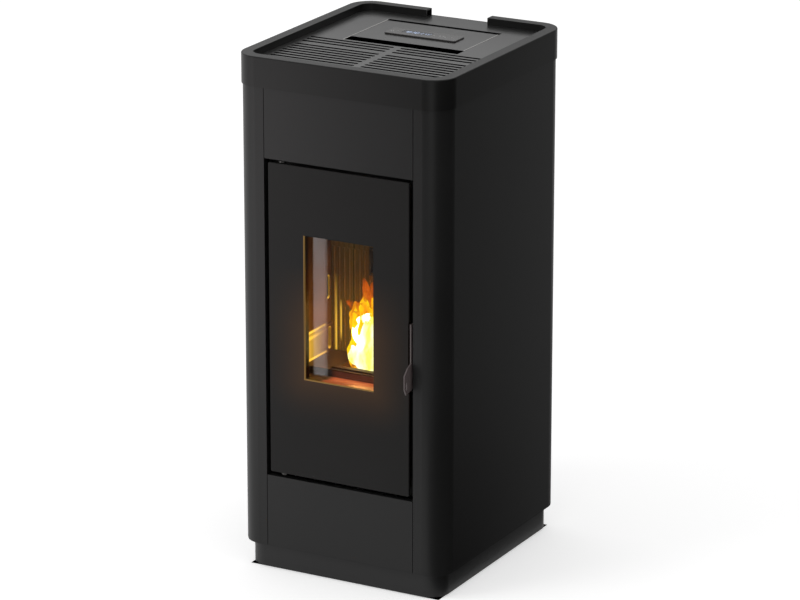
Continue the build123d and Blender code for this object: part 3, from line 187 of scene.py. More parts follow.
def cut_sheet(name, dark, light, edge_x, edge_y, top):
    sheet = powder_coat(name, dark, light, 0.33, 0.68)
    # Painted highlight: a thin bare-steel strip along one side edge, lighter than the coat.
    painted_edge_highlight = sheet.within("X", *edge_x) * sheet.within("Y", *edge_y)
    speck = sheet.cloud(400.0, 3.0)
    steel = sheet.tint(speck, (0.26, 0.255, 0.24), (0.46, 0.45, 0.43))
    coat = sheet.blend(painted_edge_highlight, sheet.tint(sheet.cloud(5.0, 2.0), dark, light), steel)
    # Painted shade: below the sheet's top face, in its cuts and slots, the coat is painted near black.
    painted_slot_shade = sheet.within("Z", top - 0.05, top - 0.0003)
    return sheet.wear(Base_Color=sheet.blend(painted_slot_shade, coat, (0.0008, 0.0008, 0.0008)), Metallic=painted_slot_shade)


edge_w, edge_lap, lid_gap, finger_gap = 0.0018, 0.0002, 0.001, 0.029
lid_low, lid_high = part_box("pellet_lid")
plate_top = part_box("top_plate")[1].z
hole_side = lid_low.x - lid_gap
sheet_dark, sheet_light = (0.0110, 0.0110, 0.0108), (0.0142, 0.0142, 0.0139)
finish("top_plate", cut_sheet(
    "grille_coat", sheet_dark, sheet_light,
    (hole_side - edge_w, hole_side + edge_lap), (lid_low.y - finger_gap, lid_high.y), plate_top,
))


# ---------------------------------------------------------------- pellet lid
# A pressed lid with folded edges, coated like the plate, hinged at its back on two small pins.
# The lid and its opening each have one side edge painted as a bare-steel strip; it is a painted highlight.
finish("pellet_lid", cut_sheet(
    "lid_coat", sheet_dark, sheet_light,
    (lid_high.x - edge_w, lid_high.x + edge_lap), (lid_low.y, lid_high.y), plate_top,
))


# ---------------------------------------------------------------- inner sheet metal
# Fan housings, flue box and stand are galvanised sheet, bent and spot-welded.
# The zinc has grown in flat crystals; the bulkhead, base, hopper and rear panel are coated black.
def galvanised(name, size, tone):
    sheet = Finish(name, Metallic=1.0)
    cells = {"Vector": sheet.place(), "Scale": size}
    crystal = sheet.add("ShaderNodeTexVoronoi", {"feature": "F1"}, cells, out="Color")
    facet = sheet.add("ShaderNodeSeparateXYZ", inputs={0: crystal})
    fine = sheet.cloud(300.0, 4.0)
    shade, light = (tuple(share * c for c in tone) for share in (0.80, 1.22))
    return sheet.wear(
        Base_Color=sheet.tint(facet * 0.8 + fine * 0.2, shade, light),
        Roughness=facet * 0.14 + fine * 0.08 + 0.34,
        Normal=sheet.grain(fine + facet, 0.000015),
    )


zinc_sheet = galvanised("galvanised_sheet", 55.0, (0.40, 0.41, 0.42))
finish("smoke_fan_housing room_fan_housing flue_box firebox_stand", zinc_sheet)
inner_coat = powder_coat("inner_black_coat", (0.010, 0.010, 0.010), (0.014, 0.014, 0.014), 0.55, 0.25)
finish("pellet_hopper hopper_guard lid_hinges base_plate bulkhead", inner_coat)
rear_coat = powder_coat("rear_panel_coat", (0.012, 0.012, 0.012), (0.015, 0.015, 0.015), 0.5, 0.3)
finish("rear_panel", rear_coat)


# ---------------------------------------------------------------- door frame, hinge and catch
# The steel pan behind the door glass carries the inner pane, the clips and the hinge pins.
# It is plain sheet, tinted brown by heat; the window's left jamb has painted shade, the sill a painted red
# fire glow.
def plain_steel(name, low, high, roughness, lines=(40.0, 40.0, 900.0)):
    steel = Finish(name, Metallic=1.0)
    rolled = steel.cloud(1.0, 4.0, steel.stretched(*lines))
    stain = steel.cloud(22.0, 3.0)
    return steel.wear(
        Base_Color=steel.tint(stain * 0.7 + rolled * 0.3, low, high),
        Roughness=rolled * 0.16 + stain * 0.1 + (roughness - 0.13),
        Normal=steel.grain(rolled, 0.00001),
    )


window_low = Vector((-0.0730, -0.2430, 0.3977))
window_high = Vector((0.0740, -0.2390, 0.6792))
jamb_w, sill_t = 0.003, 0.0008
pan_dark, pan_light = (0.070, 0.042, 0.020), (0.14, 0.085, 0.042)
pan_steel = plain_steel("door_pan_steel", pan_dark, pan_light, 0.40)
pan_stain = pan_steel.tint(pan_steel.cloud(22.0, 3.0), pan_dark, pan_light)
# Painted shade on the window's left jamb; painted fire glow on the sill under the window.
painted_jamb_shade = pan_steel.within("X", window_low.x - jamb_w, window_low.x + jamb_w)
painted_sill_glow = pan_steel.within("Z", window_low.z - sill_t, window_low.z + sill_t)
painted_sill_glow = painted_sill_glow * pan_steel.within("X", -0.040, 0.076, 0.01)
pan_steel.wear(
    Base_Color=pan_steel.blend(painted_jamb_shade * 0.75, pan_stain, (0.016, 0.008, 0.003)),
    Emission_Color=pan_steel.blend(painted_sill_glow, (0.0, 0.0, 0.0), (0.34, 0.07, 0.020)),
    Emission_Strength=1.0,
)
finish("door_frame pane_clips", pan_steel)
pin_steel = plain_steel("blackened_pin_steel", (0.045, 0.044, 0.043), (0.085, 0.083, 0.080), 0.4)
finish("hinge_pins hinge_brackets latch_catch", pin_steel)


# ---------------------------------------------------------------- door glass
# One sheet of ceramic glass, printed matt black on its back apart from the clear window.
# The print stops in a sharp line. The fire's light on that line, and its soft halo, are painted as glow.
door_print = Finish("printed_ceramic_glass", Specular_IOR_Level=0.12)
clear_x = door_print.within("X", window_low.x, window_high.x)
clear = clear_x * door_print.within("Z", window_low.z, window_high.z)
smear = door_print.cloud(7.0, 3.0)
window_middle, window_half = (window_high + window_low) / 2, (window_high - window_low) / 2
halo_reach, halo_top, halo_fade = 0.10, 0.62, 0.12
out_x = (abs(door_print.along("X") - window_middle.x) - window_half.x).held()
out_z = (abs(door_print.along("Z") - window_middle.z) - window_half.z).held()
warmth = (1.0 - (out_x * out_x + out_z * out_z) ** 0.5 / halo_reach).held() ** 2.0
low_side = ((halo_top - door_print.along("Z")) / halo_fade).held()
halo = door_print.blend(warmth * (1.0 - clear) * low_side, (0.0, 0.0, 0.0), (0.034, 0.014, 0.003))
rim_w = 0.0011
outline_x = door_print.within("X", window_low.x - rim_w, window_high.x)
outline = outline_x * door_print.within("Z", window_low.z - rim_w, window_high.z)
door_print.wear(
    Base_Color=door_print.tint(smear, (0.0118, 0.0113, 0.0110), (0.0132, 0.0127, 0.0124)),
    Roughness=smear * 0.05 + 0.42,
    Alpha=1.0 - clear * 0.95,
    Emission_Color=door_print.blend(outline - clear, halo, (0.30, 0.17, 0.045)),
    Emission_Strength=1.0,
)
finish("door_glass", door_print)


# ---------------------------------------------------------------- inner pane
# A second, loose pane of heat-resistant glass, held behind the window by four clips.
# It is clear, lies a little way behind the door glass, and mirrors whatever is bright outside.
pane_glass = Finish("clear_inner_pane", Transmission_Weight=1.0, IOR=1.46, Base_Color=(0.98, 0.97, 0.95))
film = pane_glass.cloud(18.0, 3.0)
pane_glass.wear(Roughness=(film - 0.62).held() * 0.02)
finish("window_pane", pane_glass)


# ---------------------------------------------------------------- door seal and lid gasket
# Braided glass-fibre rope, pressed into a channel on the door pan; a thinner one seals the hopper's mouth.
# The strands run round each other and close on themselves at a butt joint.
def rounded_loop(half_u, half_v, corner, step):
    points = []
    for turn, (su, sv) in enumerate(((1, 1), (-1, 1), (-1, -1), (1, -1))):
        middle = (su * (half_u - corner), sv * (half_v - corner))
        bends = max(4, int(corner * pi / 2 / step))
        for k in range(bends + 1):
            a = turn * pi / 2 + k / bends * pi / 2
            points.append(Vector((middle[0] + corner * cos(a), middle[1] + corner * sin(a))))
    path = []
    for a, b in zip(points, points[1:] + points[:1]):
        cuts = max(1, round((b - a).length / step))
        path += [a.lerp(b, k / cuts) for k in range(cuts)]
    return path


def twisted_rope(name, path, lay, middle, strand_r, orbit, pitch, strands=4, sides=7):
    length = sum((a - b).length for a, b in zip(path, path[1:] + path[:1]))
    turns = max(1, round(length / pitch))
    vertices, faces = [], []
    for strand in range(strands):
        start, walked = len(vertices), 0.0
        for k, here in enumerate(path):
            ahead, behind = path[(k + 1) % len(path)], path[k - 1]
            heading = (ahead - behind).normalized()
            side = Vector((heading.y, -heading.x))
            turn = tau * (walked / length * turns + strand / strands)
            for s in range(sides):
                a = tau * s / sides
                out = orbit * cos(turn) + strand_r * cos(a)
                up = orbit * sin(turn) + strand_r * sin(a)
                vertices.append(lay(here + side * out, up) + middle)
            walked += (ahead - here).length
        count = len(path)
        for k in range(count):
            for s in range(sides):
                a, b = start + k * sides, start + (k + 1) % count * sides
                n = (s + 1) % sides
                faces.append((a + s, a + n, b + n, b + s))
    return solid_mesh(name, vertices, faces)


def solid_mesh(name, vertices, faces, smooth=True):
    mesh = bpy.data.meshes.new(name)
    mesh.from_pydata([tuple(v) for v in vertices], [], faces)
    shape = bmesh.new()
    shape.from_mesh(mesh)
    bmesh.ops.remove_doubles(shape, verts=shape.verts, dist=1e-7)
    bmesh.ops.recalc_face_normals(shape, faces=shape.faces)
    for face in shape.faces:
        face.smooth = smooth
    shape.to_mesh(mesh)
    shape.free()
    piece = bpy.data.objects.new(name, mesh)
    bpy.context.collection.objects.link(piece)
    return piece


glass_fibre = Finish("glass_fibre_rope", Specular_IOR_Level=0.3, Sheen_Weight=0.3)
threads = glass_fibre.add(
    "ShaderNodeTexWave", {"bands_direction": "DIAGONAL"},
    {"Vector": glass_fibre.place(), "Scale": 900.0, "Distortion": 3.0, "Detail": 2.0}, out="Fac",
)
soot = glass_fibre.cloud(60.0, 3.0)
glass_fibre.wear(
    Base_Color=glass_fibre.tint(soot * 0.7 + threads * 0.3, (0.10, 0.095, 0.09), (0.30, 0.29, 0.27)),
    Roughness=threads * 0.1 + 0.8,
    Normal=glass_fibre.grain(threads, 0.0002),
)
seal_low, seal_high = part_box("door_seal")
seal_middle = (seal_low + seal_high) / 2
seal_half = (seal_high - seal_low) / 2
rope_r = 0.005
door_rope = twisted_rope(
    "door_seal_rope", rounded_loop(seal_half.x - rope_r, seal_half.z - rope_r, 0.010, 0.0016),
    lambda at, up: Vector((at.x, up, at.y)), seal_middle, 0.0023, 0.0026, 0.016,
)
door_rope.data.materials.append(glass_fibre.material)
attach(door_rope, "door")
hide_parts("door_seal")

gasket_low, gasket_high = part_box("lid_gasket")
gasket_middle = (gasket_low + gasket_high) / 2
gasket_half = (gasket_high - gasket_low) / 2
thin_rope_r = 0.002
lid_rope = twisted_rope(
    "lid_gasket_rope",
    rounded_loop(gasket_half.x - thin_rope_r, gasket_half.y - thin_rope_r, 0.003, 0.0009),
    lambda at, up: Vector((at.x, at.y, up)), gasket_middle, 0.0009, 0.0009, 0.007, sides=6,
)
lid_rope.data.materials.append(glass_fibre.material)
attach(lid_rope, "stove_body")
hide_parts("lid_gasket")


# ---------------------------------------------------------------- door handle
# A flat laser-cut lever with a slotted tab for the cold-hand tool, painted dark grey.
# It turns on a pin through the door pan and drops its hook over the catch.
lever_paint = powder_coat("lever_paint", (0.082, 0.064, 0.063), (0.100, 0.080, 0.078), 0.40, 0.45)
finish("door_handle", lever_paint)


# ---------------------------------------------------------------- firebox shell and air pipes
# Welded 3 mm steel, sprayed with matt heat-resistant paint that bakes hard at the first fire.
# The flue collar, the intake pipe, the risers, the chute and the auger tube are painted with it as well.
heat_paint = Finish("heat_paint", Specular_IOR_Level=0.25)
baked = heat_paint.cloud(9.0, 4.0)
spray = heat_paint.cloud(700.0, 3.0)
heat_paint.wear(
    Base_Color=heat_paint.tint(baked, (0.018, 0.018, 0.018), (0.036, 0.034, 0.032)),
    Roughness=spray * 0.15 + baked * 0.1 + 0.55,
    Normal=heat_paint.grain(spray, 0.00006),
)
finish("firebox_shell front_face flue_outlet air_intake_pipe heat_risers pellet_chute auger_tube", heat_paint)


# ---------------------------------------------------------------- firebox liners
# Loose stainless plates line the fire: two at the sides with air slots, and a ribbed one at the back.
# The heat has turned the steel straw brown; the fire's light on folds, slot rims and back ribs is painted as
# glow.
def tinted_liner(name, lines, glow_from, soot_on=None):
    liner = Finish(name, Metallic=0.45, Specular_IOR_Level=0.3, Emission_Strength=1.5)
    height = ((liner.along("Z") - 0.40) / 0.36).held()
    brushed = liner.cloud(1.0, 3.0, liner.stretched(*lines))
    bloom = liner.cloud(14.0, 3.0)
    scorch = (height * 0.55 + bloom * 0.5 + brushed * 0.12).held()
    soot = soot_on(liner) if soot_on else 0.0
    straw = liner.tint(scorch, (0.17, 0.075, 0.020), (0.075, 0.034, 0.012))
    return liner.wear(
        Base_Color=liner.blend(soot, straw, (0.012, 0.006, 0.003)),
        Roughness=brushed * 0.08 + bloom * 0.1 + soot * 0.3 + 0.46,
        Normal=liner.grain(brushed, 0.000004),
        Emission_Color=liner.blend(glow_from(liner), (0.0, 0.0, 0.0), (1.0, 0.60, 0.06)),
    )


def line(liner, axis, place, half):
    return (1.0 - abs(liner.along(axis) - place) / half).held()


def fire_on_side(liner):
    shelf_low, shelf_high, crease = 0.4020, 0.4570, 0.4460
    glow_y, glow_reach = -0.088, 0.085
    fore = ((glow_y - liner.along("Y")) / glow_reach).held()
    sheet_glow = liner.within("Z", shelf_low, shelf_high, 0.002) * fore ** 1.5 * 0.75
    folds = line(liner, "Z", shelf_high, 0.0028) * 0.95 + line(liner, "Z", shelf_low + 0.001, 0.0034) * 1.2
    folds = folds + line(liner, "Z", crease, 0.0050) * fore * 1.1
    rims = 0.0
    slot_y, slot_r, rim_half = -0.0765, 0.005, 0.0008
    for low, high in ((0.405, 0.449), (0.505, 0.551)):
        half = (high - low) / 2 - slot_r
        off_z = (abs(liner.along("Z") - (low + high) / 2) - half).held()
        off_y = liner.along("Y") - slot_y
        away = (off_z * off_z + off_y * off_y) ** 0.5
        rims = rims + (1.0 - abs(away - slot_r) / rim_half).held() * (off_z * 120.0 + 0.12)
    on_shelf_side = liner.within("Y", -0.20, glow_y, 0.004)
    return (sheet_glow + folds * (fore * 0.6 + 0.4) * on_shelf_side + rims).held()


# Painted highlights: two vertical lines of fire light on the back ribs, over a faint painted glow.
def fire_on_back(liner):
    glow_top, glow_fade = 0.555, 0.10
    low_part = ((glow_top - liner.along("Z")) / glow_fade).held()
    left = line(liner, "X", -0.1056, 0.0030) * low_part * 0.70
    right = line(liner, "X", -0.0948, 0.0024) * liner.within("Z", 0.428, 0.494, 0.02) * 0.75
    painted_glow_wash = line(liner, "X", -0.070, 0.080) * (low_part * 0.040 + 0.022)
    return (left + right + painted_glow_wash).held()


def soot_on_ribs(liner):
    rib_pitch, rib_half, seam_x, seam_half = 0.011, 0.0030, -0.066, 0.0022
    wrapped = {0: liner.along("X"), 1: rib_pitch / 2, 2: -rib_pitch / 2}
    off_rib = liner.add("ShaderNodeMath", {"operation": "WRAP"}, wrapped)
    on_rib = (1.0 - abs(off_rib) / rib_half).held()
    return (on_rib * 0.42 + line(liner, "X", seam_x, seam_half)).held()


finish("side_liners", tinted_liner("side_liner_steel", (900.0, 900.0, 12.0), fire_on_side))
finish("back_liner", tinted_liner("back_liner_steel", (700.0, 30.0, 14.0), fire_on_back, soot_on_ribs))


# ---------------------------------------------------------------- hearth, burn pot and baffle
# Cast iron, browned by the heat: the hearth plate, the perforated pot in it, and the baffle above the fire.
# The skin is rough from the sand mould; the hearth's front shelf and lip are painted with a red glow.
cast_iron = Finish("cast_iron", Metallic=0.6, Emission_Strength=1.0)
sand = cast_iron.cloud(420.0, 5.0)
ash = cast_iron.cloud(35.0, 4.0)
cast_iron.wear(
    Base_Color=cast_iron.tint(ash * 0.8 + sand * 0.2, (0.045, 0.024, 0.012), (0.115, 0.066, 0.036)),
    Roughness=sand * 0.2 + ash * 0.15 + 0.42,
    Normal=cast_iron.grain(sand, 0.00025),
)
hearth_low, hearth_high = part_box("hearth_plate")
lip_y, shelf_z, face_t, level_t = -0.172, hearth_high.z - 0.014, 0.0004, 0.001
on_shelf = cast_iron.within("Y", hearth_low.y, lip_y - face_t)
on_shelf = on_shelf * cast_iron.within("Z", shelf_z - level_t, shelf_z + level_t)
on_lip = cast_iron.within("Y", lip_y - face_t, lip_y + face_t)
on_lip = on_lip * cast_iron.within("Z", shelf_z + level_t, hearth_high.z - 0.002)
lit_part = cast_iron.within("X", -0.050, 0.090, 0.012)
cast_iron.wear(Emission_Color=cast_iron.blend(
    (on_shelf + on_lip * 0.14) * lit_part, (0.0, 0.0, 0.0), (0.46, 0.085, 0.028),
))
finish("hearth_plate burn_pot baffle_plate", cast_iron)


# ---------------------------------------------------------------- glowing pellets
# A bed of pressed-wood pellets, 6 mm thick, burning in the pot; Geometry Nodes tip them over it.
# They are charred black with bright orange where the air reaches them.
class Making:
    """A Geometry Nodes tree with named inputs, run once on a mesh and then taken away."""

    def __init__(self, name):
        self.tree = bpy.data.node_groups.new(name, "GeometryNodeTree")
        self.tree.interface.new_socket("Geometry", in_out="INPUT", socket_type="NodeSocketGeometry")
        self.tree.interface.new_socket("Geometry", in_out="OUTPUT", socket_type="NodeSocketGeometry")
        self.entry = self.tree.nodes.new("NodeGroupInput")
        self.end = self.tree.nodes.new("NodeGroupOutput")
        self.values = {}

    def ask(self, name, kind, value):
        self.tree.interface.new_socket(name, in_out="INPUT", socket_type="NodeSocket" + kind)
        self.values[name] = value
        return self.entry.outputs[name]

    def add(self, kind, settings=None, inputs=None, out=0):
        node = self.tree.nodes.new(kind)
        for name, value in (settings or {}).items():
            setattr(node, name, value)
        for socket, value in (inputs or {}).items():
            if isinstance(value, bpy.types.NodeSocket):
                self.tree.links.new(value, node.inputs[socket])
            else:
                node.inputs[socket].default_value = value
        return node.outputs[out]

    def run(self, name, base, instances, skin):
        solid = self.add("GeometryNodeRealizeInstances", inputs={"Geometry": instances})
        self.tree.links.new(
            self.add("GeometryNodeSetMaterial", inputs={"Geometry": solid, "Material": skin}),
            self.end.inputs[0],
        )
        modifier = base.modifiers.new(name, "NODES")
        modifier.node_group = self.tree
        for item in self.tree.interface.items_tree:
            if item.in_out == "INPUT" and item.name in self.values:
                modifier[item.identifier] = self.values[item.name]
        bpy.context.view_layer.update()
        made = base.evaluated_get(bpy.context.evaluated_depsgraph_get())
        mesh = bpy.data.meshes.new_from_object(made)
        mesh.name = name
        base.modifiers.remove(modifier)
        piece = bpy.data.objects.new(name, mesh)
        bpy.context.collection.objects.link(piece)
        bpy.data.objects.remove(base)
        return piece


ember = Finish("burning_pellets", Specular_IOR_Level=0.2, Emission_Strength=6.0)
heat = ember.cloud(90.0, 3.0)
crust = ember.cloud(900.0, 3.0)
ember.wear(
    Base_Color=ember.tint(crust, (0.02, 0.015, 0.012), (0.09, 0.06, 0.04)),
    Roughness=crust * 0.2 + 0.75,
    Emission_Color=ember.add(
        "ShaderNodeValToRGB",
        {"stops": [(0.42, (0.0, 0.0, 0.0)), (0.52, (0.5, 0.06, 0.005)), (0.66, (1.0, 0.42, 0.06))]},
        {"Fac": heat * 0.8 + crust * 0.2},
    ),
)
bed_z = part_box("burn_pot")[0].z + 0.022
bed_columns, bed_rows, pot_y = 9, 8, -0.118
heap_h, heap_half_x, heap_half_y = 0.010, 0.045, 0.036
bed = []
for i in range(bed_columns):
    for j in range(bed_rows):
        x, y = -0.040 + i * 0.010, -0.148 + j * 0.0085
        heap = heap_h * cos(x / heap_half_x * pi / 2) * cos((y - pot_y) / heap_half_y * pi / 2)
        bed.append(Vector((x, y, bed_z + heap)))
bed_faces = [
    (k, k + bed_rows, k + bed_rows + 1, k + 1)
    for i in range(bed_columns - 1) for k in range(i * bed_rows, (i + 1) * bed_rows - 1)
]
bed_mesh = solid_mesh("pellet_bed_shape", bed, bed_faces)
tipping = Making("tip_pellets")
spread = tipping.add(
    "GeometryNodeDistributePointsOnFaces", {"distribute_method": "RANDOM"},
    {"Mesh": tipping.entry.outputs[0], "Density": tipping.ask("Pellets per square metre", "Float", 52000.0),
     "Seed": tipping.ask("Seed", "Int", 4)},
)
one_pellet = tipping.add(
    "GeometryNodeMeshCylinder", {"fill_type": "NGON"},
    {"Vertices": 8, "Radius": tipping.ask("Pellet radius", "Float", 0.003),
     "Depth": tipping.ask("Pellet length", "Float", 0.013)},
)
tumble = tipping.add(
    "FunctionNodeRandomValue", {"data_type": "FLOAT_VECTOR"},
    {0: (0.9, -0.5, 0.0), 1: (2.1, 0.5, tau), 8: 11},
)
scattered = tipping.add(
    "GeometryNodeInstanceOnPoints", inputs={"Points": spread, "Instance": one_pellet, "Rotation": tumble},
)
pellets = tipping.run("burning_pellet_bed", bed_mesh, scattered, ember.material)
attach(pellets, "pot")


# ---------------------------------------------------------------- flames
# Gas burning over the pot, drawn as closed tongues: a white core, a yellow mantle and orange wisps.
# A row gives a tongue's foot x, y and z, height, width and lean; its heat falls from 1 to 0 at the tip.
# The noise that sways them is seeded, so that every run draws the same fire.
noise.seed_set(4)


def tongues(name, depth, shapes, rings=26, sides=22):
    vertices, faces, warm = [], [], []
    for seed, (x, y, z, height, width, lean) in enumerate(shapes):
        start = len(vertices)
        for ring in range(1, rings):
            t = ring / rings
            sway = noise.noise_vector(Vector((seed * 7.1, t * 2.4, 0.3))) * (0.30 * width + 0.06 * height) * t
            middle = Vector((x + lean * t ** 1.6 + sway.x, y + sway.y * 0.6, z + height * t))
            radius = width * 2.55 * t ** 0.55 * (1.0 - t) ** 0.95
            for s in range(sides):
                a = tau * s / sides
                swell = noise.noise(Vector((cos(a) * 1.1, sin(a) * 1.1, t * 4.2 - seed * 3.7)))
                r = radius * (1.0 + 0.75 * swell)
                vertices.append(middle + Vector((r * cos(a), r * sin(a) * depth, r * 0.5 * swell)))
                warm.append(1.0 - t)
        for ring in range(rings - 2):
            for s in range(sides):
                a, b, n = start + ring * sides, start + (ring + 1) * sides, (s + 1) % sides
                faces.append((a + s, a + n, b + n, b + s))
        last = start + (rings - 2) * sides
        faces.append(tuple(start + s for s in reversed(range(sides))))
        faces.append(tuple(last + s for s in range(sides)))
    piece = solid_mesh(name, vertices, faces)
    layer = piece.data.attributes.new("heat", "FLOAT", "POINT")
    layer.data.foreach_set("value", warm)
    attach(piece, "pot")
    return piece


def flame_finish(name, stops, strength, thin, streak):
    flame = Finish(name, Base_Color=(0.0, 0.0, 0.0), Specular_IOR_Level=0.0, Emission_Strength=strength)
    heat_left = flame.add("ShaderNodeAttribute", {"attribute_name": "heat"}, out="Fac")
    curl = flame.cloud(42.0, 3.0, flame.stretched(1.0, 1.0, 0.5))
    shade = (heat_left * 0.75 + curl * 0.5 - 0.12).held()
    body = ((curl - streak) * 5.0 + heat_left * 1.2 + thin).held()
    return flame.wear(
        Emission_Color=flame.add("ShaderNodeValToRGB", {"stops": stops}, {"Fac": shade}),
        Alpha=body,
        Roughness=1.0,
    )


fire_z = bed_z + 0.002
mantle = tongues("flame_mantle", 0.9, [
    (-0.022, -0.120, fire_z - 0.006, 0.056, 0.0175, -0.002),
    (-0.030, -0.118, 0.400, 0.058, 0.0145, -0.010),
    (-0.004, -0.118, fire_z, 0.158, 0.0240, -0.012),
    (-0.026, -0.112, 0.432, 0.056, 0.0110, -0.022),
    (-0.024, -0.114, 0.446, 0.078, 0.0170, -0.012),
    (-0.008, -0.110, 0.440, 0.102, 0.0190, -0.010),
    (0.012, -0.118, fire_z, 0.168, 0.0270, 0.002),
    (0.028, -0.114, fire_z, 0.150, 0.0230, 0.010),
    (0.040, -0.118, fire_z - 0.004, 0.095, 0.0190, 0.012),
])
mantle.data.materials.append(flame_finish(
    "yellow_flame",
    [(0.05, (0.90, 0.22, 0.004)), (0.15, (0.95, 0.50, 0.004)), (0.25, (0.90, 0.84, 0.006)),
     (0.44, (0.96, 0.97, 0.05)), (0.64, (1.0, 1.0, 0.30)), (0.84, (1.0, 1.0, 0.90))],
    1.4, 0.50, 0.42,
).material)
core = tongues("flame_core", 0.9, [
    (-0.006, -0.140, fire_z, 0.070, 0.0150, 0.002),
    (-0.022, -0.138, 0.404, 0.040, 0.0110, -0.008),
    (-0.008, -0.138, 0.404, 0.066, 0.0140, -0.002),
    (0.003, -0.138, fire_z, 0.124, 0.0140, -0.003),
    (0.012, -0.138, fire_z, 0.136, 0.0190, 0.002),
    (0.028, -0.134, fire_z, 0.090, 0.0150, 0.008),
])
core.data.materials.append(flame_finish(
    "white_flame",
    [(0.04, (0.98, 0.96, 0.10)), (0.11, (1.0, 1.0, 0.45)), (0.22, (1.0, 1.0, 1.0))],
    1.7, 0.8, 0.3,
).material)
wisps = tongues("flame_wisps", 0.6, [
    (-0.036, -0.114, 0.486, 0.052, 0.0170, 0.006),
    (-0.018, -0.114, 0.496, 0.046, 0.0150, 0.006),
    (-0.010, -0.114, 0.520, 0.052, 0.0090, -0.008),
    (0.004, -0.118, 0.512, 0.060, 0.0100, 0.004),
    (-0.058, -0.100, 0.506, 0.026, 0.0040, 0.004),
    (0.018, -0.110, 0.500, 0.066, 0.0090, 0.010),
])
wisps.data.materials.append(flame_finish(
    "orange_wisp",
    [(0.10, (0.45, 0.05, 0.002)), (0.30, (0.80, 0.19, 0.004)), (0.55, (1.0, 0.50, 0.02))],
    1.2, -0.1, 0.44,
).material)

fire_lamp = bpy.data.lights.new("fire_glow", "POINT")
fire_lamp.energy = 6.0
fire_lamp.color = (1.0, 0.58, 0.20)
fire_lamp.shadow_soft_size = 0.035
fire_light = bpy.data.objects.new("fire_glow", fire_lamp)
fire_light.location = (0.0, -0.122, 0.470)
bpy.context.collection.objects.link(fire_light)


# ---------------------------------------------------------------- display
# A smooth brown-grey moulding sits through the lid, with a dark screen that lights up in pale blue.
# Touch marks are printed round it; the screen shows a clock and a room temperature.
bezel = Finish("display_moulding", Specular_IOR_Level=0.5)
polish = bezel.cloud(30.0, 2.0)
bezel.wear(
    Base_Color=bezel.tint(polish, (0.014, 0.012, 0.012), (0.018, 0.016, 0.015)),
    Roughness=polish * 0.05 + 0.22,
)
finish("display_module", bezel)

lit_screen = Finish("dark_screen", Specular_IOR_Level=0.4)
across = lit_screen.cloud(40.0, 2.0)
dot_cells = {"Vector": lit_screen.place(), "Scale": 1800.0}
dots = lit_screen.add("ShaderNodeTexVoronoi", {"feature": "F1"}, dot_cells, out="Distance")
lit_screen.wear(
    Base_Color=lit_screen.tint(across, (0.010, 0.013, 0.022), (0.016, 0.020, 0.032)),
    Roughness=dots * 0.05 + 0.30,
)
finish("display_screen", lit_screen)

segment_sets = {"0": "abcdef", "1": "bc", "2": "abged", "3": "abgcd", "5": "afgcd", "8": "abcdefg"}


def bar(start, end, width, z):
    a, b = Vector(start), Vector(end)
    run = (b - a).normalized() * width / 2
    side = Vector((-run.y, run.x))
    near, far = a + run * 2, b - run * 2
    outline = [a + run, near + side, far + side, b - run, far - side, near - side]
    return [Vector((p.x, p.y, z)) for p in reversed(outline)]


def digit(figure, x, y, w, h, width, z):
    left, right, low, mid, top = x, x + w, y, y + h / 2, y + h
    ends = {
        "a": ((left, top), (right, top)), "b": ((right, mid), (right, top)),
        "c": ((right, low), (right, mid)), "d": ((left, low), (right, low)),
        "e": ((left, low), (left, mid)), "f": ((left, mid), (left, top)),
        "g": ((left, mid), (right, mid)),
    }
    return [bar(*ends[s], width, z) for s in segment_sets[figure]]


def ring(x, y, r, width, z, start=0.0, turn=tau, parts=20):
    shapes = []
    for k in range(parts):
        a, b = start + turn * k / parts, start + turn * (k + 1) / parts
        corners = ((r, a), (r + width, a), (r + width, b), (r, b))
        shapes.append([Vector((x + q * cos(t), y + q * sin(t), z)) for q, t in corners])
    return shapes


def printed(name, shapes, skin):
    vertices = [v for shape in shapes for v in shape]
    faces, at = [], 0
    for shape in shapes:
        faces.append(tuple(range(at, at + len(shape))))
        at += len(shape)
    mark = solid_mesh(name, vertices, faces, smooth=False)
    for face in mark.data.polygons:
        if face.normal.z < 0:
            face.flip()
    mark.data.materials.append(skin.material)
    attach(mark, "lid")


screen_low, screen_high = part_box("display_screen")
ink_z = screen_high.z + 0.00008
figures = []
clock_y, degree_y = screen_low.y + 0.0036, screen_low.y + 0.0046
for figure, x in zip("1830", (0.0030, 0.0100, 0.0200, 0.0270)):
    figures += digit(figure, screen_low.x + x, clock_y, 0.0050, 0.0104, 0.0014, ink_z)
for figure, x in zip("215", (0.0385, 0.0445, 0.0520)):
    figures += digit(figure, screen_low.x + x, degree_y, 0.0040, 0.0076, 0.0011, ink_z)
dot_w = 0.0013
dot = ((0, 0), (dot_w, 0), (dot_w, dot_w), (0, dot_w))
for x, y in ((0.0172, clock_y + 0.0025), (0.0172, clock_y + 0.0068), (0.0500, degree_y)):
    figures.append([Vector((screen_low.x + x + dx, y + dy, ink_z)) for dx, dy in dot])
figures += ring(screen_low.x + 0.0575, degree_y + 0.0072, 0.0006, 0.0004, ink_z, parts=12)
crystal_ink = Finish("lit_figures", Specular_IOR_Level=0.3, Emission_Strength=0.75)
thin_ink = crystal_ink.cloud(300.0, 2.0)
crystal_ink.wear(
    Base_Color=crystal_ink.tint(thin_ink, (0.30, 0.34, 0.42), (0.36, 0.40, 0.48)),
    Emission_Color=crystal_ink.tint(thin_ink, (0.42, 0.58, 1.0), (0.62, 0.76, 1.0)),
    Roughness=thin_ink * 0.1 + 0.35,
)
printed("screen_figures", figures, crystal_ink)

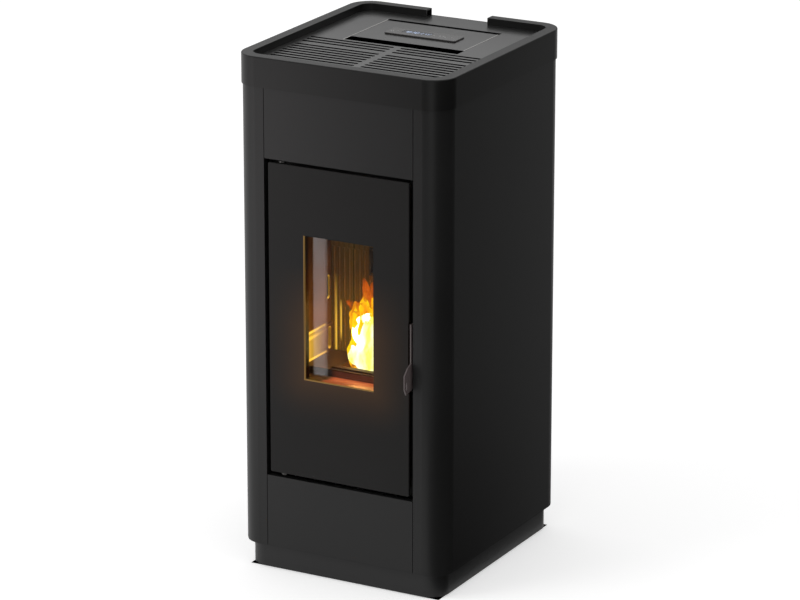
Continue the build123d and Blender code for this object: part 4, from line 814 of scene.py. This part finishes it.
module_low, module_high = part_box("display_module")
mark_z = module_high.z + 0.00006
middle_y = (module_low.y + module_high.y) / 2
power_x, minus_x, rule_x = -0.0660, 0.0430, 0.0335
marks = ring(power_x, middle_y - 0.004, 0.0026, 0.0007, mark_z, radians(120), radians(300))
marks.append(bar((power_x, middle_y - 0.0045), (power_x, middle_y + 0.0005), 0.0008, mark_z))
for x, rise in ((-0.0560, 0.0030), (0.0215, 0.0030), (0.0600, -0.0030)):
    marks.append(bar((x - 0.0022, middle_y - rise / 2), (x, middle_y + rise / 2), 0.0008, mark_z))
    marks.append(bar((x, middle_y + rise / 2), (x + 0.0022, middle_y - rise / 2), 0.0008, mark_z))
marks += ring(minus_x, middle_y, 0.0024, 0.0007, mark_z)
marks.append(bar((minus_x - 0.0018, middle_y), (minus_x + 0.0018, middle_y), 0.0007, mark_z))
marks.append(bar((rule_x, middle_y + 0.0060), (rule_x, middle_y - 0.0060), 0.0005, mark_z))
mark_ink = Finish("touch_mark_ink", Specular_IOR_Level=0.4)
screened = mark_ink.cloud(600.0, 2.0)
mark_ink.wear(
    Base_Color=mark_ink.tint(screened, (0.42, 0.42, 0.42), (0.52, 0.52, 0.52)),
    Roughness=screened * 0.1 + 0.4,
)
printed("touch_marks", marks, mark_ink)


# ---------------------------------------------------------------- ash drawer, igniter and other plain steel
# A folded drawer under the pot, the igniter rod behind it, and the screw, the fan wheels and the feet.
# They are plain rolled or turned steel with faint lines and a few stains.
drawer_steel = plain_steel("drawer_steel", (0.17, 0.15, 0.14), (0.32, 0.30, 0.28), 0.45, (500.0, 30.0, 30.0))
finish("ash_drawer", drawer_steel)
bright_steel = plain_steel("bright_steel", (0.36, 0.36, 0.36), (0.52, 0.52, 0.52), 0.32)
finish("igniter auger_screw smoke_fan_wheel room_fan_rotor", bright_steel)
for end in ("front", "rear"):
    finish(f"levelling_foot_{end}_left levelling_foot_{end}_right", bright_steel)


# ---------------------------------------------------------------- motors and thermostat
# Die-cast and pressed aluminium housings, dull from the mould, bolted to their plates.
# A faint mottling and a fine cast grain cover them.
cast_alloy = Finish("cast_alloy", Metallic=1.0)
mottle = cast_alloy.cloud(45.0, 3.0)
skin = cast_alloy.cloud(900.0, 4.0)
cast_alloy.wear(
    Base_Color=cast_alloy.tint(mottle, (0.42, 0.42, 0.43), (0.60, 0.60, 0.61)),
    Roughness=skin * 0.2 + mottle * 0.1 + 0.3,
    Normal=cast_alloy.grain(skin, 0.00008),
)
finish("auger_gearmotor smoke_fan_motor room_fan_motor safety_thermostat", cast_alloy)


# ---------------------------------------------------------------- control board
# A green glass-fibre circuit board on short posts, with a transformer, relays and a row of plugs.
# Copper tracks show through the lacquer; everything above the board is dark or white moulded plastic.
parts_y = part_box("control_board")[0].y + 0.0125
board = Finish("circuit_board", Specular_IOR_Level=0.5)
raised = ((board.along("Y") - parts_y) / 0.0005).held()
board_face = board.add("ShaderNodeMapping", inputs={"Vector": board.place(), "Rotation": (radians(90), 0, 0)})
track = board.add(
    "ShaderNodeTexBrick", {"offset": 0.35},
    {"Vector": board_face, "Color1": (0.012, 0.10, 0.040), "Color2": (0.016, 0.14, 0.055),
     "Mortar": (0.05, 0.26, 0.10), "Scale": 90.0, "Mortar Size": 0.06},
    out="Color",
)
part_patches = board.cloud(26.0, 1.0)
part_stops = [(0.44, (0.02, 0.02, 0.022)), (0.56, (0.32, 0.31, 0.28))]
parts_tone = board.add("ShaderNodeValToRGB", {"stops": part_stops}, {"Fac": part_patches})
board.wear(
    Base_Color=board.blend(raised, track, parts_tone),
    Roughness=board.cloud(400.0) * 0.2 + 0.32,
)
finish("control_board", board)


# ---------------------------------------------------------------- mains inlet, switch and reset button
# Black moulded housings clipped into the rear panel, the inlet with three metal blades.
# The reset button of the safety thermostat is red, under its own collar.
moulding = Finish("black_moulding", Specular_IOR_Level=0.45)
spark = moulding.cloud(1100.0, 2.0)
moulding.wear(
    Base_Color=moulding.tint(spark, (0.018, 0.018, 0.018), (0.028, 0.028, 0.028)),
    Roughness=spark * 0.15 + 0.42,
    Normal=moulding.grain(spark, 0.00003),
)
finish("power_inlet power_rocker", moulding)
red_button = Finish("red_moulding", Specular_IOR_Level=0.45)
red_grain = red_button.cloud(900.0, 2.0)
red_button.wear(
    Base_Color=red_button.tint(red_grain, (0.42, 0.035, 0.025), (0.52, 0.05, 0.035)),
    Roughness=red_grain * 0.1 + 0.4,
)
finish("reset_button", red_button)


# ---------------------------------------------------------------- case screws
# Zinc-plated pan-head screws with a cross recess hold the rear panel to the folds of the side panels.
# One head is made, and Geometry Nodes set it at each hole.
screw_low, screw_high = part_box("case_screws")
head_r = 0.004
head_h = screw_high.y - screw_low.y
profile = [(0.0, 1.0), (0.35, 0.98), (0.65, 0.86), (0.88, 0.55), (1.0, 0.18), (1.0, 0.0), (0.0, 0.0)]
around = 20
head_points = [
    Vector((r * head_r * cos(tau * k / around), h * head_h, r * head_r * sin(tau * k / around)))
    for r, h in profile for k in range(around)
]
head_faces = [
    (p * around + k, p * around + (k + 1) % around, (p + 1) * around + (k + 1) % around, (p + 1) * around + k)
    for p in range(len(profile) - 1) for k in range(around)
]
head = solid_mesh("screw_head", head_points, head_faces)
cross = []
arm, slit = 0.0022, 0.00045
for across_x, across_z in ((arm, slit), (slit, arm)):
    cross += [
        Vector((sx * across_x, y, sz * across_z))
        for y in (head_h * 0.35, head_h * 1.3) for sx, sz in ((-1, -1), (1, -1), (1, 1), (-1, 1))
    ]
cube = ((0, 1, 2, 3), (4, 5, 6, 7), (0, 1, 5, 4), (1, 2, 6, 5), (2, 3, 7, 6), (3, 0, 4, 7))
cross_faces = [tuple(i + at for i in f) for at in (0, 8) for f in cube]
cutter = solid_mesh("cross_recess", cross, cross_faces, smooth=False)
recess = head.modifiers.new("recess", "BOOLEAN")
recess.object = cutter
recess.solver = "EXACT"
recess.use_self = True
bpy.context.view_layer.update()
cut_head = bpy.data.meshes.new_from_object(head.evaluated_get(bpy.context.evaluated_depsgraph_get()))
head.modifiers.clear()
head.data = cut_head
bpy.data.objects.remove(cutter)

rows = 4
row_step = (screw_high.z - screw_low.z - 2 * head_r) / (rows - 1)
holes = [
    Vector((x, screw_low.y, screw_low.z + head_r + row * row_step))
    for x in (screw_low.x + head_r, screw_high.x - head_r) for row in range(rows)
]
hole_points = solid_mesh("screw_holes", holes, [])
zinc = Finish("zinc_plate", Metallic=1.0)
plated = zinc.cloud(500.0, 3.0)
zinc.wear(
    Base_Color=zinc.tint(plated, (0.44, 0.44, 0.42), (0.60, 0.60, 0.57)),
    Roughness=plated * 0.15 + 0.25,
)
fixing = Making("fix_screws")
head_in = fixing.add(
    "GeometryNodeObjectInfo", inputs={"Object": fixing.ask("Head", "Object", head)}, out="Geometry",
)
set_screws = fixing.add(
    "GeometryNodeInstanceOnPoints",
    inputs={"Points": fixing.entry.outputs[0], "Instance": head_in,
            "Scale": fixing.ask("Size", "Vector", (1.0, 1.0, 1.0))},
)
screws = fixing.run("rear_panel_screws", hole_points, set_screws, zinc.material)
bpy.data.objects.remove(head)
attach(screws, "stove_body")
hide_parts("case_screws")


# ---------------------------------------------------------------- studio
# A white floor and surround that keep the stove's soft shadow, with a black panel under the stove as painted
# shadow.
# A light panel and dark cards stand outside the picture, and are seen only as gloss on the coat.
def flat_panel(name, corners, skin):
    panel = solid_mesh(name, [Vector(c) for c in corners], [(0, 1, 2, 3)], smooth=False)
    panel.data.materials.append(skin)
    return panel


def glow(name, colour, strength):
    lit = bpy.data.materials.new(name)
    lit.use_nodes = True
    lit.node_tree.nodes.clear()
    out = lit.node_tree.nodes.new("ShaderNodeOutputMaterial")
    source = lit.node_tree.nodes.new("ShaderNodeEmission")
    source.inputs["Color"].default_value = (*colour, 1.0)
    source.inputs["Strength"].default_value = strength
    lit.node_tree.links.new(source.outputs[0], out.inputs["Surface"])
    return lit


def gloss_only(panel):
    panel.visible_camera = False
    panel.visible_diffuse = False
    panel.visible_transmission = False
    panel.visible_shadow = False


floor_paint = bpy.data.materials.new("white_floor")
floor_paint.use_nodes = True
paint_nodes = floor_paint.node_tree.nodes
paint_links = floor_paint.node_tree.links
paint_out = paint_nodes["Material Output"]
paint = paint_nodes["Principled BSDF"]
paint.inputs["Base Color"].default_value = (0.80, 0.80, 0.80, 1.0)
paint.inputs["Roughness"].default_value = 0.9
paint.inputs["Specular IOR Level"].default_value = 0.0
lift = paint_nodes.new("ShaderNodeEmission")
seen = paint_nodes.new("ShaderNodeLightPath")
seen_by = paint_nodes.new("ShaderNodeMath")
seen_by.operation = "MAXIMUM"
lift_share = paint_nodes.new("ShaderNodeMath")
lift_share.operation = "MULTIPLY"
lift_share.inputs[1].default_value = 0.45
both = paint_nodes.new("ShaderNodeAddShader")
for source, target in (
    (seen.outputs["Is Camera Ray"], seen_by.inputs[0]),
    (seen.outputs["Is Glossy Ray"], seen_by.inputs[1]),
    (seen_by.outputs[0], lift_share.inputs[0]),
    (lift_share.outputs[0], lift.inputs["Strength"]),
    (paint.outputs[0], both.inputs[0]),
    (lift.outputs[0], both.inputs[1]),
    (both.outputs[0], paint_out.inputs["Surface"]),
):
    paint_links.new(source, target)
around_middle = ((-1, -1), (1, -1), (1, 1), (-1, 1))
flat_panel("studio_floor", [(sx * 14, sy * 14, 0) for sx, sy in around_middle], floor_paint)

# Painted shadow: a black sheet on the floor inside the plinth stands for the shade under the stove.
plinth_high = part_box("base_plinth")[1]
shade_x, shade_y, shade_z = plinth_high.x - 0.004, plinth_high.y - 0.004, 0.0006
flat_panel(
    "shade_under_stove",
    [(sx * shade_x, sy * shade_y, shade_z) for sx, sy in around_middle],
    glow("no_light", (0.0, 0.0, 0.0), 0.0),
)

surround = bpy.data.worlds.new("studio_surround")
bpy.context.scene.world = surround
surround.use_nodes = True
sky = surround.node_tree
sky_out = sky.nodes["World Output"]
soft_light = sky.nodes["Background"]
soft_light.inputs["Color"].default_value = (1.0, 1.0, 1.0, 1.0)
soft_light.inputs["Strength"].default_value = 0.75
white = sky.nodes.new("ShaderNodeBackground")
white.inputs["Color"].default_value = (1.0, 1.0, 1.0, 1.0)
white.inputs["Strength"].default_value = 1.0
ray = sky.nodes.new("ShaderNodeLightPath")
either = sky.nodes.new("ShaderNodeMath")
either.operation = "MAXIMUM"
any_view = sky.nodes.new("ShaderNodeMath")
any_view.operation = "MAXIMUM"
choose = sky.nodes.new("ShaderNodeMixShader")
for source, target in (
    (ray.outputs["Is Camera Ray"], either.inputs[0]),
    (ray.outputs["Is Glossy Ray"], either.inputs[1]),
    (either.outputs[0], any_view.inputs[0]),
    (ray.outputs["Is Transmission Ray"], any_view.inputs[1]),
    (any_view.outputs[0], choose.inputs["Fac"]),
    (soft_light.outputs[0], choose.inputs[1]),
    (white.outputs[0], choose.inputs[2]),
    (choose.outputs[0], sky_out.inputs["Surface"]),
):
    sky.links.new(source, target)


def upright_panel(name, start, end, low, high, skin):
    panel = flat_panel(name, ((*start, low), (*end, low), (*end, high), (*start, high)), skin)
    gloss_only(panel)
    return panel


panel_light = glow("panel_light", (1.0, 0.96, 0.97), 2.7)
upright_panel("light_panel", (-0.533, -1.095), (-0.884, -0.894), 0.0, 0.95, panel_light)
dark_flag = glow("dark_flag", (1.0, 1.0, 1.0), 0.10)
front_flag = upright_panel("front_flag", (-0.530, -1.097), (0.30, -1.60), 0.0, 1.3, dark_flag)
front_flag.visible_transmission = True

side_shade = glow("side_shade", (1.0, 1.0, 1.0), 0.1)
shade_nodes = side_shade.node_tree.nodes
shade_place = shade_nodes.new("ShaderNodeTexCoord")
shade_ramp = shade_nodes.new("ShaderNodeVectorMath")
shade_ramp.operation = "DOT_PRODUCT"
shade_ramp.inputs[1].default_value = (-0.871, 0.475, 0.0)
shade_lift = shade_nodes.new("ShaderNodeMath")
shade_lift.operation = "ADD"
shade_lift.use_clamp = True
shade_lift.inputs[1].default_value = 0.287
side_shade.node_tree.links.new(shade_place.outputs["Object"], shade_ramp.inputs[0])
side_shade.node_tree.links.new(shade_ramp.outputs["Value"], shade_lift.inputs[0])
side_shade.node_tree.links.new(shade_lift.outputs[0], shade_nodes["Emission"].inputs["Strength"])
upright_panel("side_card", (0.35, 1.25), (1.90, -0.30), 0.0, 1.5, side_shade)
upright_panel("corner_card", (1.90, -0.30), (1.20, -1.90), 0.0, 1.5, side_shade)
floor_card = flat_panel(
    "floor_card",
    ((0.222, -1.90, 0.002), (2.2, -1.90, 0.002), (2.2, 2.0, 0.002), (0.222, 2.0, 0.002)),
    side_shade,
)
gloss_only(floor_card)
dim_card = glow("dim_card", (1.0, 1.0, 1.0), 0.12)
upright_panel("low_back_card", (-1.9, 1.2), (0.3, 1.2), 0.9, 1.27, dim_card)

key_lamp = bpy.data.lights.new("key_light", "AREA")
key_lamp.energy = 55.0
key_lamp.shape = "DISK"
key_lamp.size = 2.4
key = bpy.data.objects.new("key_light", key_lamp)
key.location = (-2.6, -3.4, 3.6)
key.rotation_euler = (Vector((0.0, 0.0, 0.5)) - key.location).to_track_quat("-Z", "Y").to_euler()
key.visible_glossy = False
bpy.context.collection.objects.link(key)


# ---------------------------------------------------------------- camera
# A long lens at the photograph's angle, aimed at the middle of the stove.
# The picture is 800 by 600.
focal_pixels, picture_w, sensor_w = 4180.8, 800.0, 36.0
sight = bpy.data.cameras.new("camera")
sight.sensor_width = sensor_w
sight.lens = sensor_w * focal_pixels / picture_w
sight.clip_end = 100.0
camera = bpy.data.objects.new("camera", sight)
aim = Vector((-0.0070, 0.0088, 0.4937))
azimuth, elevation, distance = radians(28.6), radians(17.7), 7.9922
stand = Vector((sin(azimuth) * cos(elevation), -cos(azimuth) * cos(elevation), sin(elevation)))
camera.location = aim + stand * distance
camera.rotation_euler = (-stand).to_track_quat("-Z", "Y").to_euler()
bpy.context.collection.objects.link(camera)
bpy.context.scene.camera = camera
bpy.context.scene.view_settings.view_transform = "Standard"
